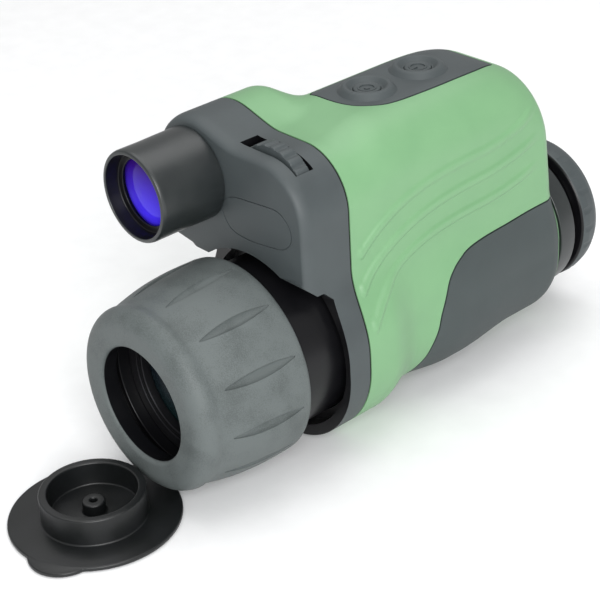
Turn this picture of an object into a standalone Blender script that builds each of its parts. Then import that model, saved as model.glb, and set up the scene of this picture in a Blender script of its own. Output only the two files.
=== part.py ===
"""Night-vision monocular with an infrared illuminator and a tethered lens cap.

Every piece is its own closed solid.  Lengths in this file are millimetres in the optical
frame: the optical axis is the Y axis, the objective looks towards -Y, +Z is up and y = 0
is the back edge of the focus ring.  The empty called optical_axis carries that frame, and
puts the centre of the tripod seat, on the surface that the monocular stands on, at the
world's origin.
"""
from math import cos, hypot, pi, radians, sin

import bmesh
import bpy
from mathutils import Matrix, Vector

MM = 0.001
GAP = 0.3                      # clearance between pieces that touch

AXIS_HEIGHT = 34.4             # optical axis above the surface it stands on
SEAT_Y = 86.0                  # reference point on the face of the tripod seat
BUSH_Y = 78.0                  # tripod thread

# Body casing
COVER_FRONT = 5.8              # front face of the cover's upper block
COVER_BACK = 23.75             # seam between the cover and the shell
COLLAR_FRONT = 15.4            # front edge of the cover below the upper block
BLOCK_UNDERSIDE = 26.5         # height of the upper block's flat underside
RECESS_RADIUS = 33.2           # round recess that the focus ring's back looks into
COLLAR_RECESS = 31.2           # the same recess inside the collar
RECESS_BACK = 20.5
SHELL_BACK = 123.0
FORM_BACK = 123.4              # where the rounding of the form's back would close
HALF_WIDTH = 26.6
TOP_HEIGHT = 70.0
FRONT_TOP = 66.9               # top of the form at the cover
COVER_WALL = 2.4
SHELL_WALL = 3.4
PAD_DEPTH = 1.9                # recess in the shell that a grip pad lies in
PAD_THICKNESS = 1.6
IR_X = -24.0
IR_Z = 53.35
IR_BOSS_RADIUS = 18.2
IR_TUBE = 15.0                 # radius of the illuminator's tube
IR_FRONT = -18.3
IR_NECK = 11.8                 # radius of the neck that the tube plugs in with

# Objective and focus ring
RING_FRONT = -40.9
RING_RADIUS = 33.0
NOSE_Y = -33.25                # centre of the rounding of the ring's nose
NOSE_RADIAL = 24.95
HOLE_RADIUS = 18.8
BARREL_RADIUS = 28.2

# Eyepiece
EYE_COLLAR = 26.0
EYE_NECK = 21.6

# Control wheel in the cover's shoulder
WHEEL_X = 6.2
WHEEL_Z = 54.0
WHEEL_Y = 11.5
WHEEL_WIDTH = 5.0
WHEEL_RADIUS = 15.2
WHEEL_TEETH = 24

# Button panel
BUTTON_X = -1.0
BUTTON_YS = (59.0, 81.8)
BUTTON_TOP = 71.4
BUTTON_RADIUS = 5.2
BUTTON_TRAVEL = 0.8
PANEL_THICKNESS = 2.0
COLLAR_TOP = 72.0              # crest of the raised collar round each button
SWITCH_TOP = 65.0              # tip of the plunger under each button
SCREWS = ((-13.0, 45.0), (13.0, 45.0), (-13.0, 93.0), (13.0, 93.0))
SCREW_HOLE = 1.4

# Battery bay on the left side
DOOR_Y = (56.0, 109.0)
DOOR_Z = (27.2, 57.0)
DOOR_THICKNESS = 2.4
DOOR_HINGE = (-27.4, 0.0, DOOR_Z[0] - 0.2)
TRAY_X = (-20.6, -5.6)
TRAY_Y = (48.4, 107.0)
TRAY_Z = (24.4, 55.9)
TRAY_WALL = 1.2
CELL_X = -14.0
CELL_Y = 52.3                  # front end of both cells
CELL_ZS = (33.0, 47.5)
CELL_RADIUS = 7.1
CELL_LENGTH = 50.5

# Tripod foot
FOOT_HALF = 7.5                # half width
FOOT_Y = (BUSH_Y - 10.0, BUSH_Y + 20.0)
FOOT_TOP = -28.6

# Lens cap lying open in front of the ring
CAP_X = -4.65
CAP_Y = -58.2
CAP_TOP = -32.9                # upper face of the flange, which is the sealing face
CAP_FLANGE = 26.9
CAP_THICKNESS = 1.5
PLUG_RADIUS = 16.5
PLUG_BORE = 13.9
PLUG_HEIGHT = 9.0
TAB_TURN = 25.0                # degrees from straight ahead to the pull tab
TAB_REACH = 19.6               # from the cap's centre to the tab's
TAB_RADIUS = 11.0
CAP_HINGE = (-2.3, NOSE_Y, -NOSE_RADIAL)


def clear_scene():
    for obj in list(bpy.data.objects):
        bpy.data.objects.remove(obj, do_unlink=True)


def material(name, colour, roughness, metallic=0.0):
    mat = bpy.data.materials.new(name)
    mat.use_nodes = True
    shader = mat.node_tree.nodes["Principled BSDF"]
    shader.inputs["Base Color"].default_value = (*colour, 1.0)
    shader.inputs["Roughness"].default_value = roughness
    shader.inputs["Metallic"].default_value = metallic
    mat.diffuse_color = (*colour, 1.0)
    return mat


clear_scene()
GREEN = material("green_casing", (0.29, 0.58, 0.31), 0.5)
CHARCOAL = material("charcoal_soft_touch", (0.085, 0.095, 0.1), 0.6)
RUBBER = material("ribbed_rubber", (0.12, 0.13, 0.13), 0.75)
GLOSS_BLACK = material("black_barrel", (0.012, 0.012, 0.014), 0.22)
CAP_RUBBER = material("cap_rubber", (0.035, 0.04, 0.042), 0.55)
GLASS = material("coated_glass", (0.05, 0.09, 0.08), 0.05)
VIOLET_GLASS = material("infrared_lens", (0.1, 0.03, 0.55), 0.1)
BOARD = material("circuit_board", (0.03, 0.16, 0.06), 0.5)
STEEL = material("nickel_steel", (0.62, 0.62, 0.6), 0.3, 1.0)
BRASS = material("brass", (0.72, 0.52, 0.24), 0.3, 1.0)
ALUMINIUM = material("black_aluminium", (0.05, 0.05, 0.055), 0.35, 0.8)
CELL = material("battery_sleeve", (0.1, 0.1, 0.12), 0.35)

ROOT = bpy.data.objects.new("optical_axis", None)
ROOT.location = (0.0, -SEAT_Y * MM, AXIS_HEIGHT * MM)
bpy.context.collection.objects.link(ROOT)


def add_object(name, bm, mat, pivot=(0.0, 0.0, 0.0)):
    """Turn a bmesh in millimetres into an object whose origin is at the pivot."""
    bmesh.ops.recalc_face_normals(bm, faces=bm.faces)
    bmesh.ops.translate(bm, verts=bm.verts, vec=-Vector(pivot))
    bmesh.ops.scale(bm, verts=bm.verts, vec=(MM, MM, MM))
    mesh = bpy.data.meshes.new(name)
    bm.to_mesh(mesh)
    bm.free()
    if mat:
        mesh.materials.append(mat)
    mesh.shade_smooth()
    mesh.set_sharp_from_angle(angle=radians(35))
    obj = bpy.data.objects.new(name, mesh)
    bpy.context.collection.objects.link(obj)
    obj.parent = ROOT
    obj.location = Vector(pivot) * MM
    return obj


def lathe_mesh(profile, x=0.0, z=0.0, steps=24):
    """Revolve a profile of (y, radius) points about the line through (x, z) along Y.

    A profile that starts and ends at radius 0 makes a solid, any other is closed into a
    ring.
    """
    bm = bmesh.new()
    turn = [2 * pi * i / steps for i in range(steps)]
    rings = []
    for y, radius in profile:
        if radius == 0.0:
            rings.append([bm.verts.new((x, y, z))])
        else:
            rings.append([bm.verts.new((x + radius * sin(a), y, z + radius * cos(a))) for a in turn])
    pairs = list(zip(rings, rings[1:]))
    if profile[0][1] > 0.0:
        pairs.append((rings[-1], rings[0]))
    for one, two in pairs:
        for i in range(steps):
            j = (i + 1) % steps
            corners = [one[i % len(one)], one[j % len(one)], two[j % len(two)], two[i % len(two)]]
            bm.faces.new(list(dict.fromkeys(corners)))
    return bm


def lathe(name, profile, mat, x=0.0, z=0.0, steps=24):
    """A turned piece whose origin is on its own axis."""
    return add_object(name, lathe_mesh(profile, x, z, steps), mat, (x, 0.0, z))


def disc(y0, y1, radius):
    return [(y0, 0.0), (y0, radius), (y1, radius), (y1, 0.0)]


def tube(y0, y1, inner, outer):
    return [(y0, inner), (y0, outer), (y1, outer), (y1, inner)]


def box_mesh(low, high):
    bm = bmesh.new()
    bmesh.ops.create_cube(bm, size=1.0)
    size = [b - a for a, b in zip(low, high)]
    bmesh.ops.scale(bm, verts=bm.verts, vec=size)
    bmesh.ops.translate(bm, verts=bm.verts, vec=[(a + b) / 2 for a, b in zip(low, high)])
    return bm


def box(name, low, high, mat=None, bevel=0.0, pivot=(0.0, 0.0, 0.0)):
    bm = box_mesh(low, high)
    if bevel:
        bmesh.ops.bevel(bm, geom=bm.edges[:], offset=bevel, segments=2, profile=0.5,
                        affect="EDGES")
    return add_object(name, bm, mat, pivot)


def prism_mesh(outline, axis, low, high):
    """Extrude a closed outline along an axis: (y, z) points along X or (x, y) along Z."""
    def place(a, b, depth):
        return (depth, a, b) if axis == "X" else (a, b, depth)

    bm = bmesh.new()
    near = [bm.verts.new(place(a, b, low)) for a, b in outline]
    far = [bm.verts.new(place(a, b, high)) for a, b in outline]
    count = len(outline)
    bm.faces.new(near)
    bm.faces.new(far[::-1])
    for i in range(count):
        bm.faces.new((near[i], far[i], far[(i + 1) % count], near[(i + 1) % count]))
    return bm


def combine(obj, other, operation):
    """Apply a Boolean of another object, which is used up."""
    modifier = obj.modifiers.new("combine", "BOOLEAN")
    modifier.operation = operation
    modifier.object = other
    modifier.solver = "EXACT"
    graph = bpy.context.evaluated_depsgraph_get()
    mesh = bpy.data.meshes.new_from_object(obj.evaluated_get(graph))
    obj.modifiers.clear()
    bm = bmesh.new()
    bm.from_mesh(mesh)
    bmesh.ops.remove_doubles(bm, verts=bm.verts, dist=0.000004)
    bm.to_mesh(mesh)
    bm.free()
    old = obj.data
    obj.data = mesh
    bpy.data.meshes.remove(old)
    bpy.data.objects.remove(other, do_unlink=True)
    mesh.shade_smooth()
    mesh.set_sharp_from_angle(angle=radians(35))
    return obj


def cut(obj, other):
    return combine(obj, other, "DIFFERENCE")


def join(obj, other):
    return combine(obj, other, "UNION")


def keep_inside(obj, other):
    return combine(obj, other, "INTERSECT")


def cylinder(name, y0, y1, radius, x=0.0, z=0.0, steps=24):
    return lathe(name, disc(y0, y1, radius), None, x, z, steps)


def post_mesh(x, y, z0, z1, radius, steps=24, top_radius=None):
    """An upright cylinder or cone."""
    bm = bmesh.new()
    top = radius if top_radius is None else top_radius
    lift = Matrix.Translation((x, y, (z0 + z1) / 2))
    bmesh.ops.create_cone(bm, cap_ends=True, segments=steps, radius1=radius, radius2=top,
                          depth=z1 - z0, matrix=lift)
    return bm


def post(name, x, y, z0, z1, radius, mat=None, steps=24, top_radius=None):
    return add_object(name, post_mesh(x, y, z0, z1, radius, steps, top_radius), mat, (x, y, z0))


# ---- outer form of the body ------------------------------------------------------------

def smooth(low, high, value):
    """0 below low, 1 above high, and an S curve between."""
    t = min(1.0, max(0.0, (value - low) / (high - low)))
    return t * t * (3 - 2 * t)


def bend(start, end, value, power=2.0):
    """1 up to start, then down to 0 at end: a quarter circle, or squarer for a higher power."""
    t = min(1.0, max(0.0, (value - start) / (end - start)))
    return (1 - t ** power) ** (1 / power)


def soft_min(a, b, blend):
    """The smaller of two distances, with a fillet where they are alike."""
    t = max(blend - abs(a - b), 0.0) / blend
    return min(a, b) - t * t * blend / 4


def rounded_box(x, z, x0, x1, z0, z1, radius):
    """Signed distance to a box with rounded corners."""
    dx = abs(x - (x0 + x1) / 2) - (x1 - x0) / 2 + radius
    dz = abs(z - (z0 + z1) / 2) - (z1 - z0) / 2 + radius
    outside = hypot(max(dx, 0.0), max(dz, 0.0))
    return outside + min(max(dx, dz), 0.0) - radius


def lower_half(y):
    """Half width of the round lower body: full at the objective, waisted, then the grip."""
    waist = 4.3 * smooth(35, 50, y)
    grip = 2.0 * smooth(52, 71, y) - 1.9 * smooth(76, 104, y)
    return 25.5 - waist + grip + 7.7 * bend(115, FORM_BACK, y)


def body_distance(x, z, y):
    """Signed distance, in a slice across the body, to the outer form at y."""
    fuller = smooth(28, 46, y)
    side = HALF_WIDTH - 0.6 * (1 - smooth(20, 45, y))
    side += 24.0 * (bend(113.4, FORM_BACK, y + 0.11 * max(0.0, z - 25)) - 1)
    top = FRONT_TOP + (TOP_HEIGHT - FRONT_TOP) * fuller
    top = 20 + (top - 20) * bend(76, FORM_BACK, y, 3.5)
    corner = min(17.7 + 0.9 * fuller, side - 1, top / 2 + 4)
    upper = rounded_box(x, z, -side, side, -8.0, top, corner)
    low = lower_half(y)
    lower = rounded_box(x, z, -low, low, -low - 1.3, low + 0.2, low - 1.5)
    body = soft_min(upper, lower, 6.0)
    fade = 20.0 * smooth(36, 62, y)
    boss = hypot(x - IR_X, z - IR_Z) - IR_BOSS_RADIUS
    left = IR_X - IR_BOSS_RADIUS + 1.5
    block = rounded_box(x, z, left, 0.0, BLOCK_UNDERSIDE, IR_Z + 4, 6.0)
    return soft_min(body, soft_min(boss, block, 5.0) + fade, 7.0)


CENTRE_X = -4.0
CENTRE_Z = 26.0


def section(y, inset, steps):
    """Points round the body at y, on the form offset inwards by inset."""
    points = []
    for i in range(steps):
        angle = 2 * pi * i / steps
        dx, dz = sin(angle), cos(angle)
        low, high = 0.0, 90.0
        for _ in range(30):
            middle = (low + high) / 2
            if body_distance(CENTRE_X + middle * dx, CENTRE_Z + middle * dz, y) + inset < 0:
                low = middle
            else:
                high = middle
        points.append((CENTRE_X + low * dx, CENTRE_Z + low * dz))
    return points


def form(name, stations, steps=48, mat=None):
    """Solid skinned over stations of (y, inset)."""
    bm = bmesh.new()
    rings = []
    for y, inset in stations:
        rings.append([bm.verts.new((x, y, z)) for x, z in section(y, inset, steps)])
    for one, two in zip(rings, rings[1:]):
        for i in range(steps):
            j = (i + 1) % steps
            bm.faces.new((one[i], one[j], two[j], two[i]))
    for ring, (y, _) in ((rings[0], stations[0]), (rings[-1], stations[-1])):
        hub = bm.verts.new((CENTRE_X, y, CENTRE_Z))
        for i in range(steps):
            bm.faces.new((hub, ring[i], ring[(i + 1) % steps]))
    bmesh.ops.triangulate(bm, faces=bm.faces)
    return add_object(name, bm, mat)


SHELL_YS = (30.0, 36.0, 42.0, 48.0, 55.0, 64.0, 76.0, 88.0, 98.0, 106.0, 112.5, 116.8, 119.6, 121.5)


def shell_form(name, inset, front, back, steps=48):
    """The shell's outer form, offset inwards, between two stations."""
    middle = [y for y in SHELL_YS if front + 1.5 < y < back - 1.5]
    return form(name, [(y, inset) for y in (front, *middle, back)], steps)


# ---- casing ----------------------------------------------------------------------------

def grow(outline, amount):
    """An anticlockwise outline moved outwards by amount."""
    moved = []
    for i, (a, b) in enumerate(outline):
        before, after = outline[i - 1], outline[(i + 1) % len(outline)]
        da, db = after[0] - before[0], after[1] - before[1]
        length = hypot(da, db)
        moved.append((a + amount * db / length, b - amount * da / length))
    return moved


def rounded_outline(a0, a1, b0, b1, radius, steps=4):
    """Anticlockwise rectangle with round corners."""
    points = []
    corners = ((a1 - radius, b1 - radius, 0), (a0 + radius, b1 - radius, 90),
               (a0 + radius, b0 + radius, 180), (a1 - radius, b0 + radius, 270))
    for ca, cb, start in corners:
        for i in range(steps + 1):
            angle = radians(start + 90 * i / steps)
            points.append((ca + radius * cos(angle), cb + radius * sin(angle)))
    return points


PAD_OUTLINE = ((SHELL_BACK - 1.2, 19.6), (105.0, 19.4), (94.8, 18.9), (82.0, 18.6), (74.3, 17.6),
               (70.0, 15.8), (66.7, 13.6), (63.8, 10.2), (61.7, 5.0), (60.1, -0.1), (58.9, -5.3),
               (57.2, -10.7), (55.6, -16.6), (53.0, -22.0), (49.0, -26.5), (44.0, -29.5),
               (40.0, -45.0), (SHELL_BACK - 1.2, -45.0))
PANEL_OUTLINE = ((-12.6, 45.8), (-3.9, 45.9), (1.9, 46.8), (6.2, 49.0), (9.8, 53.3), (11.4, 59.0),
                 (12.1, 69.4), (12.4, 82.7), (12.0, 94.7), (10.0, 104.6), (-12.0, 104.6),
                 (-14.2, 97.0), (-14.8, 84.0), (-14.8, 48.4))
DOOR_OUTLINE = rounded_outline(*DOOR_Y, *DOOR_Z, 4.0)


def pad_prism(name, side, margin):
    """Block whose outline is a grip pad's, on one side of the body."""
    low, high = sorted((side * (FOOT_HALF + 1.0 - margin), side * 60.0))
    return add_object(name, prism_mesh(grow(PAD_OUTLINE, margin), "X", low, high), None)


def panel_prism(name, margin):
    return add_object(name, prism_mesh(grow(PANEL_OUTLINE, margin), "Z", 50.0, 90.0), None)


def door_prism(name, margin):
    return add_object(name, prism_mesh(grow(DOOR_OUTLINE, margin), "X", -60.0, -16.0), None)


def shell_layer(name, prism, thickness, mat):
    """Piece of the body's skin inside a prism, flush with the outer form."""
    layer = keep_inside(prism, shell_form("skin", 0.0, COVER_BACK + GAP, SHELL_BACK))
    cut(layer, shell_form("core", thickness, 26.0, SHELL_BACK + 4))
    layer.name = name
    layer.data.name = name
    layer.data.materials.clear()
    layer.data.materials.append(mat)
    return layer


def pocket(shell, prism, depth):
    """Recess in the shell that a flush layer lies in."""
    cut(prism, shell_form("core", depth, 26.0, SHELL_BACK + 4))
    cut(shell, prism)


def below_base(name):
    """Everything under the surface that the monocular stands on."""
    return box(name, (-50.0, 0.0, -60.0), (50.0, 60.0, -AXIS_HEIGHT))


def make_casing():
    """Green one-piece shell, open at the front and pierced at the back by the eyepiece."""
    shell = shell_form("body_shell", 0.0, COVER_BACK + GAP, SHELL_BACK)
    shell.data.materials.append(GREEN)
    cut(shell, shell_form("hollow", SHELL_WALL, COVER_BACK - 1.0, SHELL_BACK - 3.6, 26))
    cut(shell, cylinder("eyepiece_hole", 110.0, 140.0, EYE_NECK + GAP))
    for side in (-1, 1):
        pocket(shell, pad_prism("pocket", side, GAP), PAD_DEPTH)
    pocket(shell, panel_prism("pocket", GAP), PANEL_THICKNESS + GAP)
    cut(shell, door_prism("door_opening", GAP))
    for y in BUTTON_YS:
        cut(shell, post("button_hole", BUTTON_X, y, 50.0, 90.0, BUTTON_RADIUS + 2.0))
    cut(shell, box("foot_hole", (-FOOT_HALF - GAP, FOOT_Y[0] - GAP, -60.0),
                   (FOOT_HALF + GAP, FOOT_Y[1] + GAP, -24.0)))
    cut(shell, below_base("base"))

    shell_layer("grip_left", pad_prism("pad", -1, 0.0), PAD_THICKNESS, RUBBER)
    shell_layer("grip_right", pad_prism("pad", 1, 0.0), PAD_THICKNESS, RUBBER)
    shell_layer("battery_door", door_prism("door", 0.0), DOOR_THICKNESS, GREEN)
    set_pivot("battery_door", DOOR_HINGE)
    panel = shell_layer("button_panel", panel_prism("panel", 0.0), PANEL_THICKNESS, CHARCOAL)
    for y in BUTTON_YS:
        join(panel, post("collar", BUTTON_X, y, 69.0, COLLAR_TOP, 9.6, top_radius=7.2))
        cut(panel, post("button_hole", BUTTON_X, y, 60.0, 90.0, BUTTON_RADIUS + GAP))


def set_pivot(name, pivot):
    """Move an object's origin without moving its mesh."""
    obj = bpy.data.objects[name]
    shift = Vector(pivot) * MM - obj.location
    obj.data.transform(Matrix.Translation(-shift))
    obj.location += shift


def make_front_cover():
    """Front of the casing: an upper block with the illuminator, over a collar."""
    stations = ((COVER_FRONT, 2.2), (COVER_FRONT + 0.9, 1.0), (COVER_FRONT + 2.6, 0.3), (13.0, 0.0),
                (18.0, 0.0), (COVER_BACK, 0.0))
    cover = form("front_cover", stations, mat=CHARCOAL)
    hollow = ((COVER_FRONT + COVER_WALL, COVER_WALL + 1.0), (13.0, COVER_WALL), (18.0, COVER_WALL),
              (COVER_BACK + 1.0, COVER_WALL))
    inside = form("hollow", hollow, 28)
    cut(inside, box("floor", (-60.0, 0.0, -60.0), (60.0, COLLAR_FRONT + 1.1, BLOCK_UNDERSIDE + 7.5)))
    cut(cover, inside)
    sleeve = [(COVER_FRONT + 1.5, 26.0), (COVER_FRONT + 1.5, RECESS_RADIUS + 1.2),
              (COLLAR_FRONT - 2.2, RECESS_RADIUS + 1.2), (COLLAR_FRONT - 0.1, COLLAR_RECESS + 1.3),
              (RECESS_BACK + 2.0, COLLAR_RECESS + 1.3), (RECESS_BACK + 2.0, 26.0)]
    join(cover, lathe("sleeve", sleeve, None, steps=48))
    recess = [(-5.0, 0.0), (-5.0, RECESS_RADIUS), (COLLAR_FRONT - 3.9, RECESS_RADIUS),
              (COLLAR_FRONT - 1.9, COLLAR_RECESS), (RECESS_BACK, COLLAR_RECESS),
              (RECESS_BACK, BARREL_RADIUS + GAP), (30.0, BARREL_RADIUS + GAP), (30.0, 0.0)]
    cut(cover, lathe("recess", recess, None, steps=48))
    step = [(-10.0, -60.0), (COLLAR_FRONT, -60.0), (COLLAR_FRONT, BLOCK_UNDERSIDE - 3.0),
            (COLLAR_FRONT - 3.0, BLOCK_UNDERSIDE), (-10.0, BLOCK_UNDERSIDE)]
    cut(cover, add_object("step", prism_mesh(step, "X", -60.0, 60.0), None))
    slant = [(-10.0, 0.0), (13.0, 0.0), (13.0, 23.5), (5.0, 30.8), (-10.0, 44.5)]
    cut(cover, add_object("slant", prism_mesh(slant, "X", 0.0, 60.0), None))
    cut(cover, cylinder("neck_hole", 0.0, 12.0, IR_NECK + GAP, IR_X, IR_Z))
    slot = (WHEEL_Y - 1.0, WHEEL_Y + WHEEL_WIDTH + 1.0)
    cut(cover, box("wheel_slot", (-6.0, slot[0], 58.0), (18.3, slot[1], 90.0)))
    cut(cover, cylinder("wheel_space", *slot, WHEEL_RADIUS + 0.5, WHEEL_X, WHEEL_Z, 40))
    cut(cover, below_base("base"))


# ---- objective -------------------------------------------------------------------------

def ring_profile():
    """Focus ring's rubber: hole lip, round nose, taper, grip and back rim."""
    nose = []
    for i in range(7):
        angle = radians(90 * i / 6)
        nose.append((NOSE_Y - (NOSE_Y - RING_FRONT) * cos(angle), NOSE_RADIAL + 6.6 * sin(angle)))
    lip = []
    for i in range(6):
        angle = radians(90 * i / 5)
        lip.append((RING_FRONT + 3.6 * (1 - sin(angle)), HOLE_RADIUS + 4.3 * (1 - cos(angle))))
    outer = [(-27.0, 31.2), (-20.0, 32.5), (-11.0, 33.1), (-2.0, RING_RADIUS), (0.0, RING_RADIUS - 1.2)]
    inner = [(0.0, 29.7), (-34.0, 29.7), (-34.0, HOLE_RADIUS + 1.2)]
    return lip + nose + outer + inner


def make_objective():
    barrel = [(-30.0, 24.5), (-30.0, 27.0), (0.8, 27.0), (0.8, BARREL_RADIUS), (34.0, BARREL_RADIUS),
              (34.0, 24.5)]
    lathe("objective_barrel", barrel, GLOSS_BLACK, steps=32)
    lathe("focus_ring", tube(-33.7, -0.2, 27.3, 29.4), ALUMINIUM, steps=32)
    lathe("focus_ring_grip", ring_profile(), RUBBER, steps=32)
    cell = [(-26.0, 20.4), (-26.0, 24.2), (-8.0, 24.2), (-8.0, 20.4), (-16.0, 20.4), (-16.0, 18.6),
            (-18.0, 18.6), (-18.0, 20.4)]
    lathe("objective_cell", cell, ALUMINIUM)
    front = [(-18.3, 0.0), (-18.3, 20.1), (-22.0, 20.1), (-23.4, 14.0), (-24.0, 7.0), (-24.2, 0.0)]
    lathe("objective_front_lens", front[::-1], GLASS)
    lathe("objective_retaining_ring", tube(-25.6, -22.5, 18.4, 20.1), ALUMINIUM)
    rear = [(-15.7, 0.0), (-15.7, 20.1), (-12.0, 20.1), (-10.4, 12.0), (-10.0, 0.0)]
    lathe("objective_rear_lens", rear, GLASS)


# ---- image tube and eyepiece -----------------------------------------------------------

def make_optics():
    lathe("tube_housing", tube(34.6, 96.0, 22.8, 24.6), ALUMINIUM)
    intensifier = [(38.0, 0.0), (38.0, 22.4), (42.0, 22.4), (42.0, 18.0), (82.0, 18.0), (82.0, 15.0),
                   (87.0, 15.0), (87.0, 0.0)]
    lathe("image_tube", intensifier, GLOSS_BLACK)
    lathe("tube_clamp_ring", tube(82.6, 86.0, 15.4, 22.4), ALUMINIUM)

    barrel = [(97.0, 18.6), (97.0, EYE_NECK), (SHELL_BACK + GAP, EYE_NECK), (SHELL_BACK + GAP, EYE_COLLAR),
              (130.2, EYE_COLLAR), (130.8, EYE_COLLAR - 0.6), (130.8, EYE_NECK), (141.5, EYE_NECK),
              (141.5, 18.6)]
    lathe("eyepiece_barrel", barrel, CHARCOAL, steps=32)
    ring = [(134.8, 21.9), (134.8, 25.2), (135.6, 25.9), (138.5, 26.0), (142.0, 25.2), (144.5, 23.8),
            (145.4, 22.6), (145.4, 16.0), (142.0, 16.0), (142.0, 21.9)]
    lathe("diopter_ring", ring, RUBBER, steps=32)
    cup = [(145.7, 16.4), (145.7, 21.6), (147.0, 21.0), (148.0, 18.6), (147.6, 17.0)]
    lathe("eyecup", cup, CAP_RUBBER)
    cell = [(119.0, 15.2), (119.0, 18.3), (134.0, 18.3), (134.0, 15.2), (126.2, 15.2), (126.2, 13.8),
            (125.0, 13.8), (125.0, 15.2)]
    lathe("eyepiece_cell", cell, ALUMINIUM)
    field_lens = [(120.5, 0.0), (121.2, 8.0), (122.5, 14.9), (124.7, 14.9), (124.7, 0.0)]
    lathe("eyepiece_field_lens", field_lens, GLASS)
    eye_lens = [(126.5, 0.0), (126.5, 14.9), (130.0, 14.9), (131.6, 8.0), (132.2, 0.0)]
    lathe("eyepiece_eye_lens", eye_lens, GLASS)


# ---- illuminator -----------------------------------------------------------------------

def make_illuminator():
    body = [(IR_FRONT + 0.7, 13.2), (IR_FRONT, 13.9), (IR_FRONT + 0.6, IR_TUBE - 0.2), (-9.0, IR_TUBE),
            (2.0, IR_TUBE + 0.2), (COVER_FRONT - GAP, IR_TUBE + 0.2), (COVER_FRONT - GAP, IR_NECK),
            (11.5, IR_NECK), (11.5, 8.0), (-9.0, 8.0), (-9.0, 12.4), (-12.4, 12.4), (-12.4, 13.2)]
    lathe("ir_tube", body, CHARCOAL, IR_X, IR_Z)
    lens = [(-9.3, 0.0), (-9.3, 12.1), (-11.8, 12.1), (-13.4, 8.6), (-14.2, 4.4), (-14.5, 0.0)]
    lathe("ir_lens", lens[::-1], VIOLET_GLASS, IR_X, IR_Z)
    emitter = [(1.6, 0.0), (2.2, 1.6), (3.6, 2.4), (7.0, 2.4), (7.0, 4.6), (9.2, 4.6), (9.2, 0.0)]
    lathe("ir_emitter", emitter, CELL, IR_X, IR_Z, 24)
    lathe("ir_heat_sink", disc(9.5, 11.4, 7.6), ALUMINIUM, IR_X, IR_Z, 32)


# ---- controls and electronics ----------------------------------------------------------

def wheel_outline(radius, depth):
    """Rim with broad flat teeth."""
    points = []
    for i in range(WHEEL_TEETH):
        for share, r in ((0.0, radius), (0.55, radius), (0.68, radius - depth), (0.87, radius - depth)):
            angle = 2 * pi * (i + share) / WHEEL_TEETH
            points.append((WHEEL_X + r * sin(angle), WHEEL_Z + r * cos(angle)))
    return points


def make_controls():
    bm = bmesh.new()
    near = [bm.verts.new((x, WHEEL_Y, z)) for x, z in wheel_outline(WHEEL_RADIUS, 0.9)]
    far = [bm.verts.new((x, WHEEL_Y + WHEEL_WIDTH, z)) for x, z in wheel_outline(WHEEL_RADIUS, 0.9)]
    bm.faces.new(near)
    bm.faces.new(far[::-1])
    for i in range(len(near)):
        j = (i + 1) % len(near)
        bm.faces.new((near[i], far[i], far[j], near[j]))
    wheel = add_object("thumbwheel", bm, CHARCOAL, (WHEEL_X, 0.0, WHEEL_Z))
    cut(wheel, cylinder("bore", 0.0, 30.0, 2.3, WHEEL_X, WHEEL_Z, 24))
    shaft = [(11.0, 0.0), (11.0, 2.0), (17.2, 2.0), (17.2, 5.0), (21.0, 5.0), (21.0, 0.0)]
    lathe("potentiometer", shaft, STEEL, WHEEL_X, WHEEL_Z, 24)
    box("control_board", (-3.0, 21.3, 42.0), (17.5, 22.9, 59.5), BOARD)

    board = box("main_board", (-16.0, 40.0, 59.6), (16.0, 98.0, 61.2), BOARD)
    for x, y in SCREWS:
        cut(board, post("screw_hole", x, y, 58.0, 64.0, SCREW_HOLE, steps=12))
    for label, y in zip(("front", "rear"), BUTTON_YS):
        switch = box("switch_" + label, (BUTTON_X - 3.0, y - 3.0, 61.5),
                     (BUTTON_X + 3.0, y + 3.0, 63.9), CELL)
        join(switch, post("plunger", BUTTON_X, y, 63.7, SWITCH_TOP, 1.6, steps=16))
        cap = lathe_cap("button_" + label, y)
        cap.data.materials.clear()
        cap.data.materials.append(CHARCOAL)
    for i, (x, y) in enumerate(SCREWS):
        screw = post(f"board_screw_{i + 1}", x, y, 58.9, 62.0, 1.0, STEEL, 12)
        join(screw, post("head", x, y, 61.5, 62.9, 2.2, steps=16))
    box("tube_power_supply", (3.0, 56.0, 27.0), (20.0, 96.0, 44.0), CELL, 1.0)


def lathe_cap(name, y):
    """Push button: a dished cap with a skirt under the panel and a stem over its switch."""
    skirt = BUTTON_RADIUS + 1.2
    stem = SWITCH_TOP + GAP + BUTTON_TRAVEL
    profile = [(stem, 0.0), (stem, 2.2), (66.5, 2.2), (66.5, skirt), (67.3, skirt), (67.3, BUTTON_RADIUS),
               (BUTTON_TOP - 0.3, BUTTON_RADIUS), (BUTTON_TOP, BUTTON_RADIUS - 0.4), (BUTTON_TOP, 3.6),
               (BUTTON_TOP - 0.3, 3.2), (BUTTON_TOP - 0.3, 0.0)]
    bm = lathe_mesh(profile, BUTTON_X, 0.0, 18)
    bmesh.ops.rotate(bm, verts=bm.verts, cent=(0, 0, 0), matrix=Matrix.Rotation(radians(90), 3, "X"))
    bmesh.ops.translate(bm, verts=bm.verts, vec=(0.0, y, 0.0))
    return add_object(name, bm, CHARCOAL, (BUTTON_X, y, BUTTON_TOP))


# ---- battery bay -----------------------------------------------------------------------

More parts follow.
